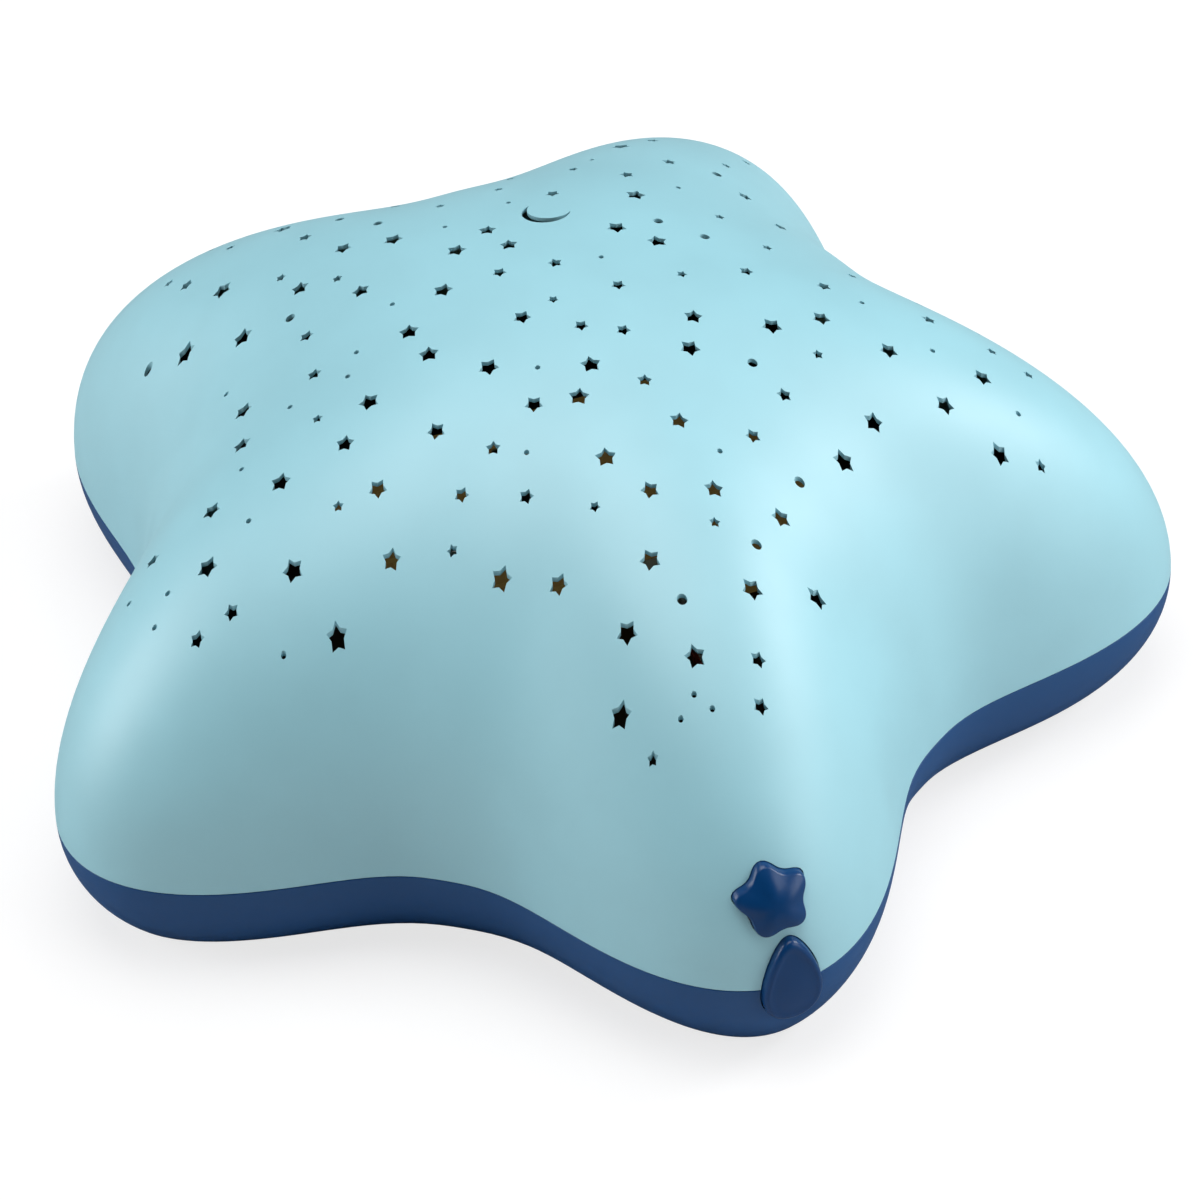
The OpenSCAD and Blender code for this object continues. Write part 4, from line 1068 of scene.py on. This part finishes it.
def plain(name, colour, roughness, grain, scale=1500, metallic=0.0, stretch=None):
    """One substance: cloudy colour, uneven gloss and a grain that may be drawn out one way."""
    made = Finish(name)
    cloud = made.noise(140, 3)
    return made.surface(base_color=made.mix(cloud, *shades(colour, 0.88, 1.12)),
                        metallic=metallic, roughness=roughness + cloud * 0.12,
                        normal=made.bump(made.noise(scale, 3, 0.5, stretch), grain))


def ribbon_finish():
    """Grey, with a rib over each wire as a sine of the width, and a red first wire. The grey carries
    painted shade in the grooves and painted light on the tops of the ribs.
    """
    made = Finish("ribbon_pvc")
    x = made.axes(box_mm("ribbon_lead")[0])[0]
    rib = (x / RIB_PITCH).wave()
    marked = 1 - x.above(RIB_PITCH)
    # painted shade and light: the grey is darker in the grooves and lighter on the ribs' tops,
    # following the ribs' height
    grey = made.mix(rib, (0.3, 0.3, 0.28), (0.5, 0.49, 0.46))
    return made.surface(base_color=made.mix(marked, grey, (0.35, 0.04, 0.03)),
                        roughness=0.4 + made.noise(300) * 0.1, normal=made.bump(rib, 2e-4))


def cell_finish():
    """Steel beyond both ends of a printed jacket, which has a light band near its nub."""
    made = Finish("cell_jacket")
    low, high = box_mm("battery_cells")
    x, y, _ = made.axes((low + high) / 2)
    along = y * (x.size().above(CELL_PITCH / 2) * 2 - 1)
    half = (high[1] - low[1]) / 2
    bare = 1 - along.between(CELL_FOOT - half, half - CELL_NUB)
    band = along.between(half - BAND_LOW, half - BAND_HIGH)
    jacket = made.mix(band, (0.035, 0.06, 0.05), (0.55, 0.57, 0.56))
    return made.surface(base_color=made.mix(bare, jacket, TIN), metallic=bare,
                        roughness=0.28 + made.noise(220, 3) * 0.12, coat_weight=0.3,
                        normal=made.bump(made.noise(1200, 2), 3e-6))


def lead_finish():
    """One lead is red and the other black."""
    made = Finish("lead_pvc")
    side = made.axes()[0].above(0.0)
    return made.surface(base_color=made.mix(side, BLACK, (0.5, 0.03, 0.02)),
                        roughness=0.35 + made.noise(400) * 0.1)


for name, finish in (("ribbon_lead", ribbon_finish()), ("battery_cells", cell_finish()),
                     ("battery_leads", lead_finish())):
    dress(nodes[name], finish)
print("wires and cells dressed, cells", CELL_PITCH, "mm apart")

# %% Metal, rubber and small plastic parts
nickel = plain("nickel", (0.66, 0.64, 0.58), 0.22, 5e-6, 900, 1.0, (1, 12, 12))
zinc = plain("zinc", (0.56, 0.57, 0.6), 0.28, 8e-6, 700, 1.0)
rubber = plain("rubber", (0.022, 0.023, 0.025), 0.68, 1.5e-5, 1300)
ivory = plain("ivory_nylon", (0.78, 0.74, 0.62), 0.4, 4e-6)
grey_nylon = plain("grey_nylon", (0.46, 0.48, 0.5), 0.38, 4e-6)
screws = ("door_screws", "case_screws", "main_board_screws", "button_board_screws")
for finish, names in ((nickel, ("contact_springs", "link_plates", "terminal_plates")),
                      (zinc, screws), (rubber, ("rubber_feet",)), (ivory, ("ribbon_plugs",)),
                      (navy, ("battery_door",)), (grey_nylon, ("star_plunger", "drop_plunger"))):
    for name in names:
        dress(nodes[name], finish)
print("materials in all:", len(bpy.data.materials))

# %% [markdown]
# ## Floor and lights
#
# The floor is a wide pale sheet that keeps a light shadow under the lamp. Paper in a studio is lit
# on its own until it is nearly white, so part of its brightness is a glow that only the camera
# sees. In mirrored rays it is darker, or its reflection would turn the navy base grey.
# The lamp is lit by a broad soft box overhead, which draws the long highlights down the arms, and
# by three lower ones: right, right front, and left behind.

# %% Floor
FLOOR_REACH = 3000
corners = np.array([[-1, -1, 0], [1, -1, 0], [1, 1, 0], [-1, 1, 0]]) * FLOOR_REACH
floor = piece("floor", corners, [[0, 1, 2, 3]], smooth=False)
paper = Finish("paper")
seen = paper.node("ShaderNodeLightPath", out="Is Camera Ray")
mirrored = paper.node("ShaderNodeLightPath", out="Is Glossy Ray")
lit = paper.mix(mirrored, (0.9,) * 3, (0.25,) * 3)
paper.surface(base_color=paper.mix(seen, lit, (0.3,) * 3), roughness=0.9, ior=1.0,
              emission_color=paper.mix(seen, (0,) * 3, (0.75,) * 3), emission_strength=1.0)
dress(floor, paper)
print("floor", 2 * FLOOR_REACH * MM, "m wide")

# %% Lights
LIGHT_DISTANCE, LIGHT_AIM_Z, WORLD_FILL = 1.2, 0.05, 0.02


def soft_box(name, azimuth, elevation, size, power):
    """A square area light that looks at the star's middle from a direction."""
    lamp = bpy.data.lights.new(name, "AREA")
    lamp.shape, lamp.size, lamp.energy = "SQUARE", size, power
    thing = bpy.data.objects.new(name, lamp)
    bpy.context.scene.collection.objects.link(thing)
    a, e = math.radians(azimuth), math.radians(elevation)
    toward = Vector((math.sin(a) * math.cos(e), -math.cos(a) * math.cos(e), math.sin(e)))
    thing.location = Vector((0, CENTRE_Y * MM, LIGHT_AIM_Z)) + toward * LIGHT_DISTANCE
    thing.rotation_euler = toward.to_track_quat("Z", "Y").to_euler()


soft_box("overhead", 0, 90, 0.95, 10.6)
soft_box("right", 86, 30, 0.42, 6.6)
soft_box("right_front", 50, 20, 0.7, 3.7)
soft_box("left_back", -110, 20, 0.7, 7.1)
world = bpy.data.worlds.new("studio")
bpy.context.scene.world = world
world.use_nodes = True
backdrop = world.node_tree.nodes["Background"]
backdrop.inputs["Color"].default_value = (1, 1, 1, 1)
ray = world.node_tree.nodes.new("ShaderNodeLightPath")
brightness = world.node_tree.nodes.new("ShaderNodeMapRange")
brightness.inputs["To Min"].default_value = WORLD_FILL
world.node_tree.links.new(ray.outputs["Is Camera Ray"], brightness.inputs["Value"])
world.node_tree.links.new(brightness.outputs[0], backdrop.inputs["Strength"])
bpy.context.scene.view_settings.view_transform = "Standard"
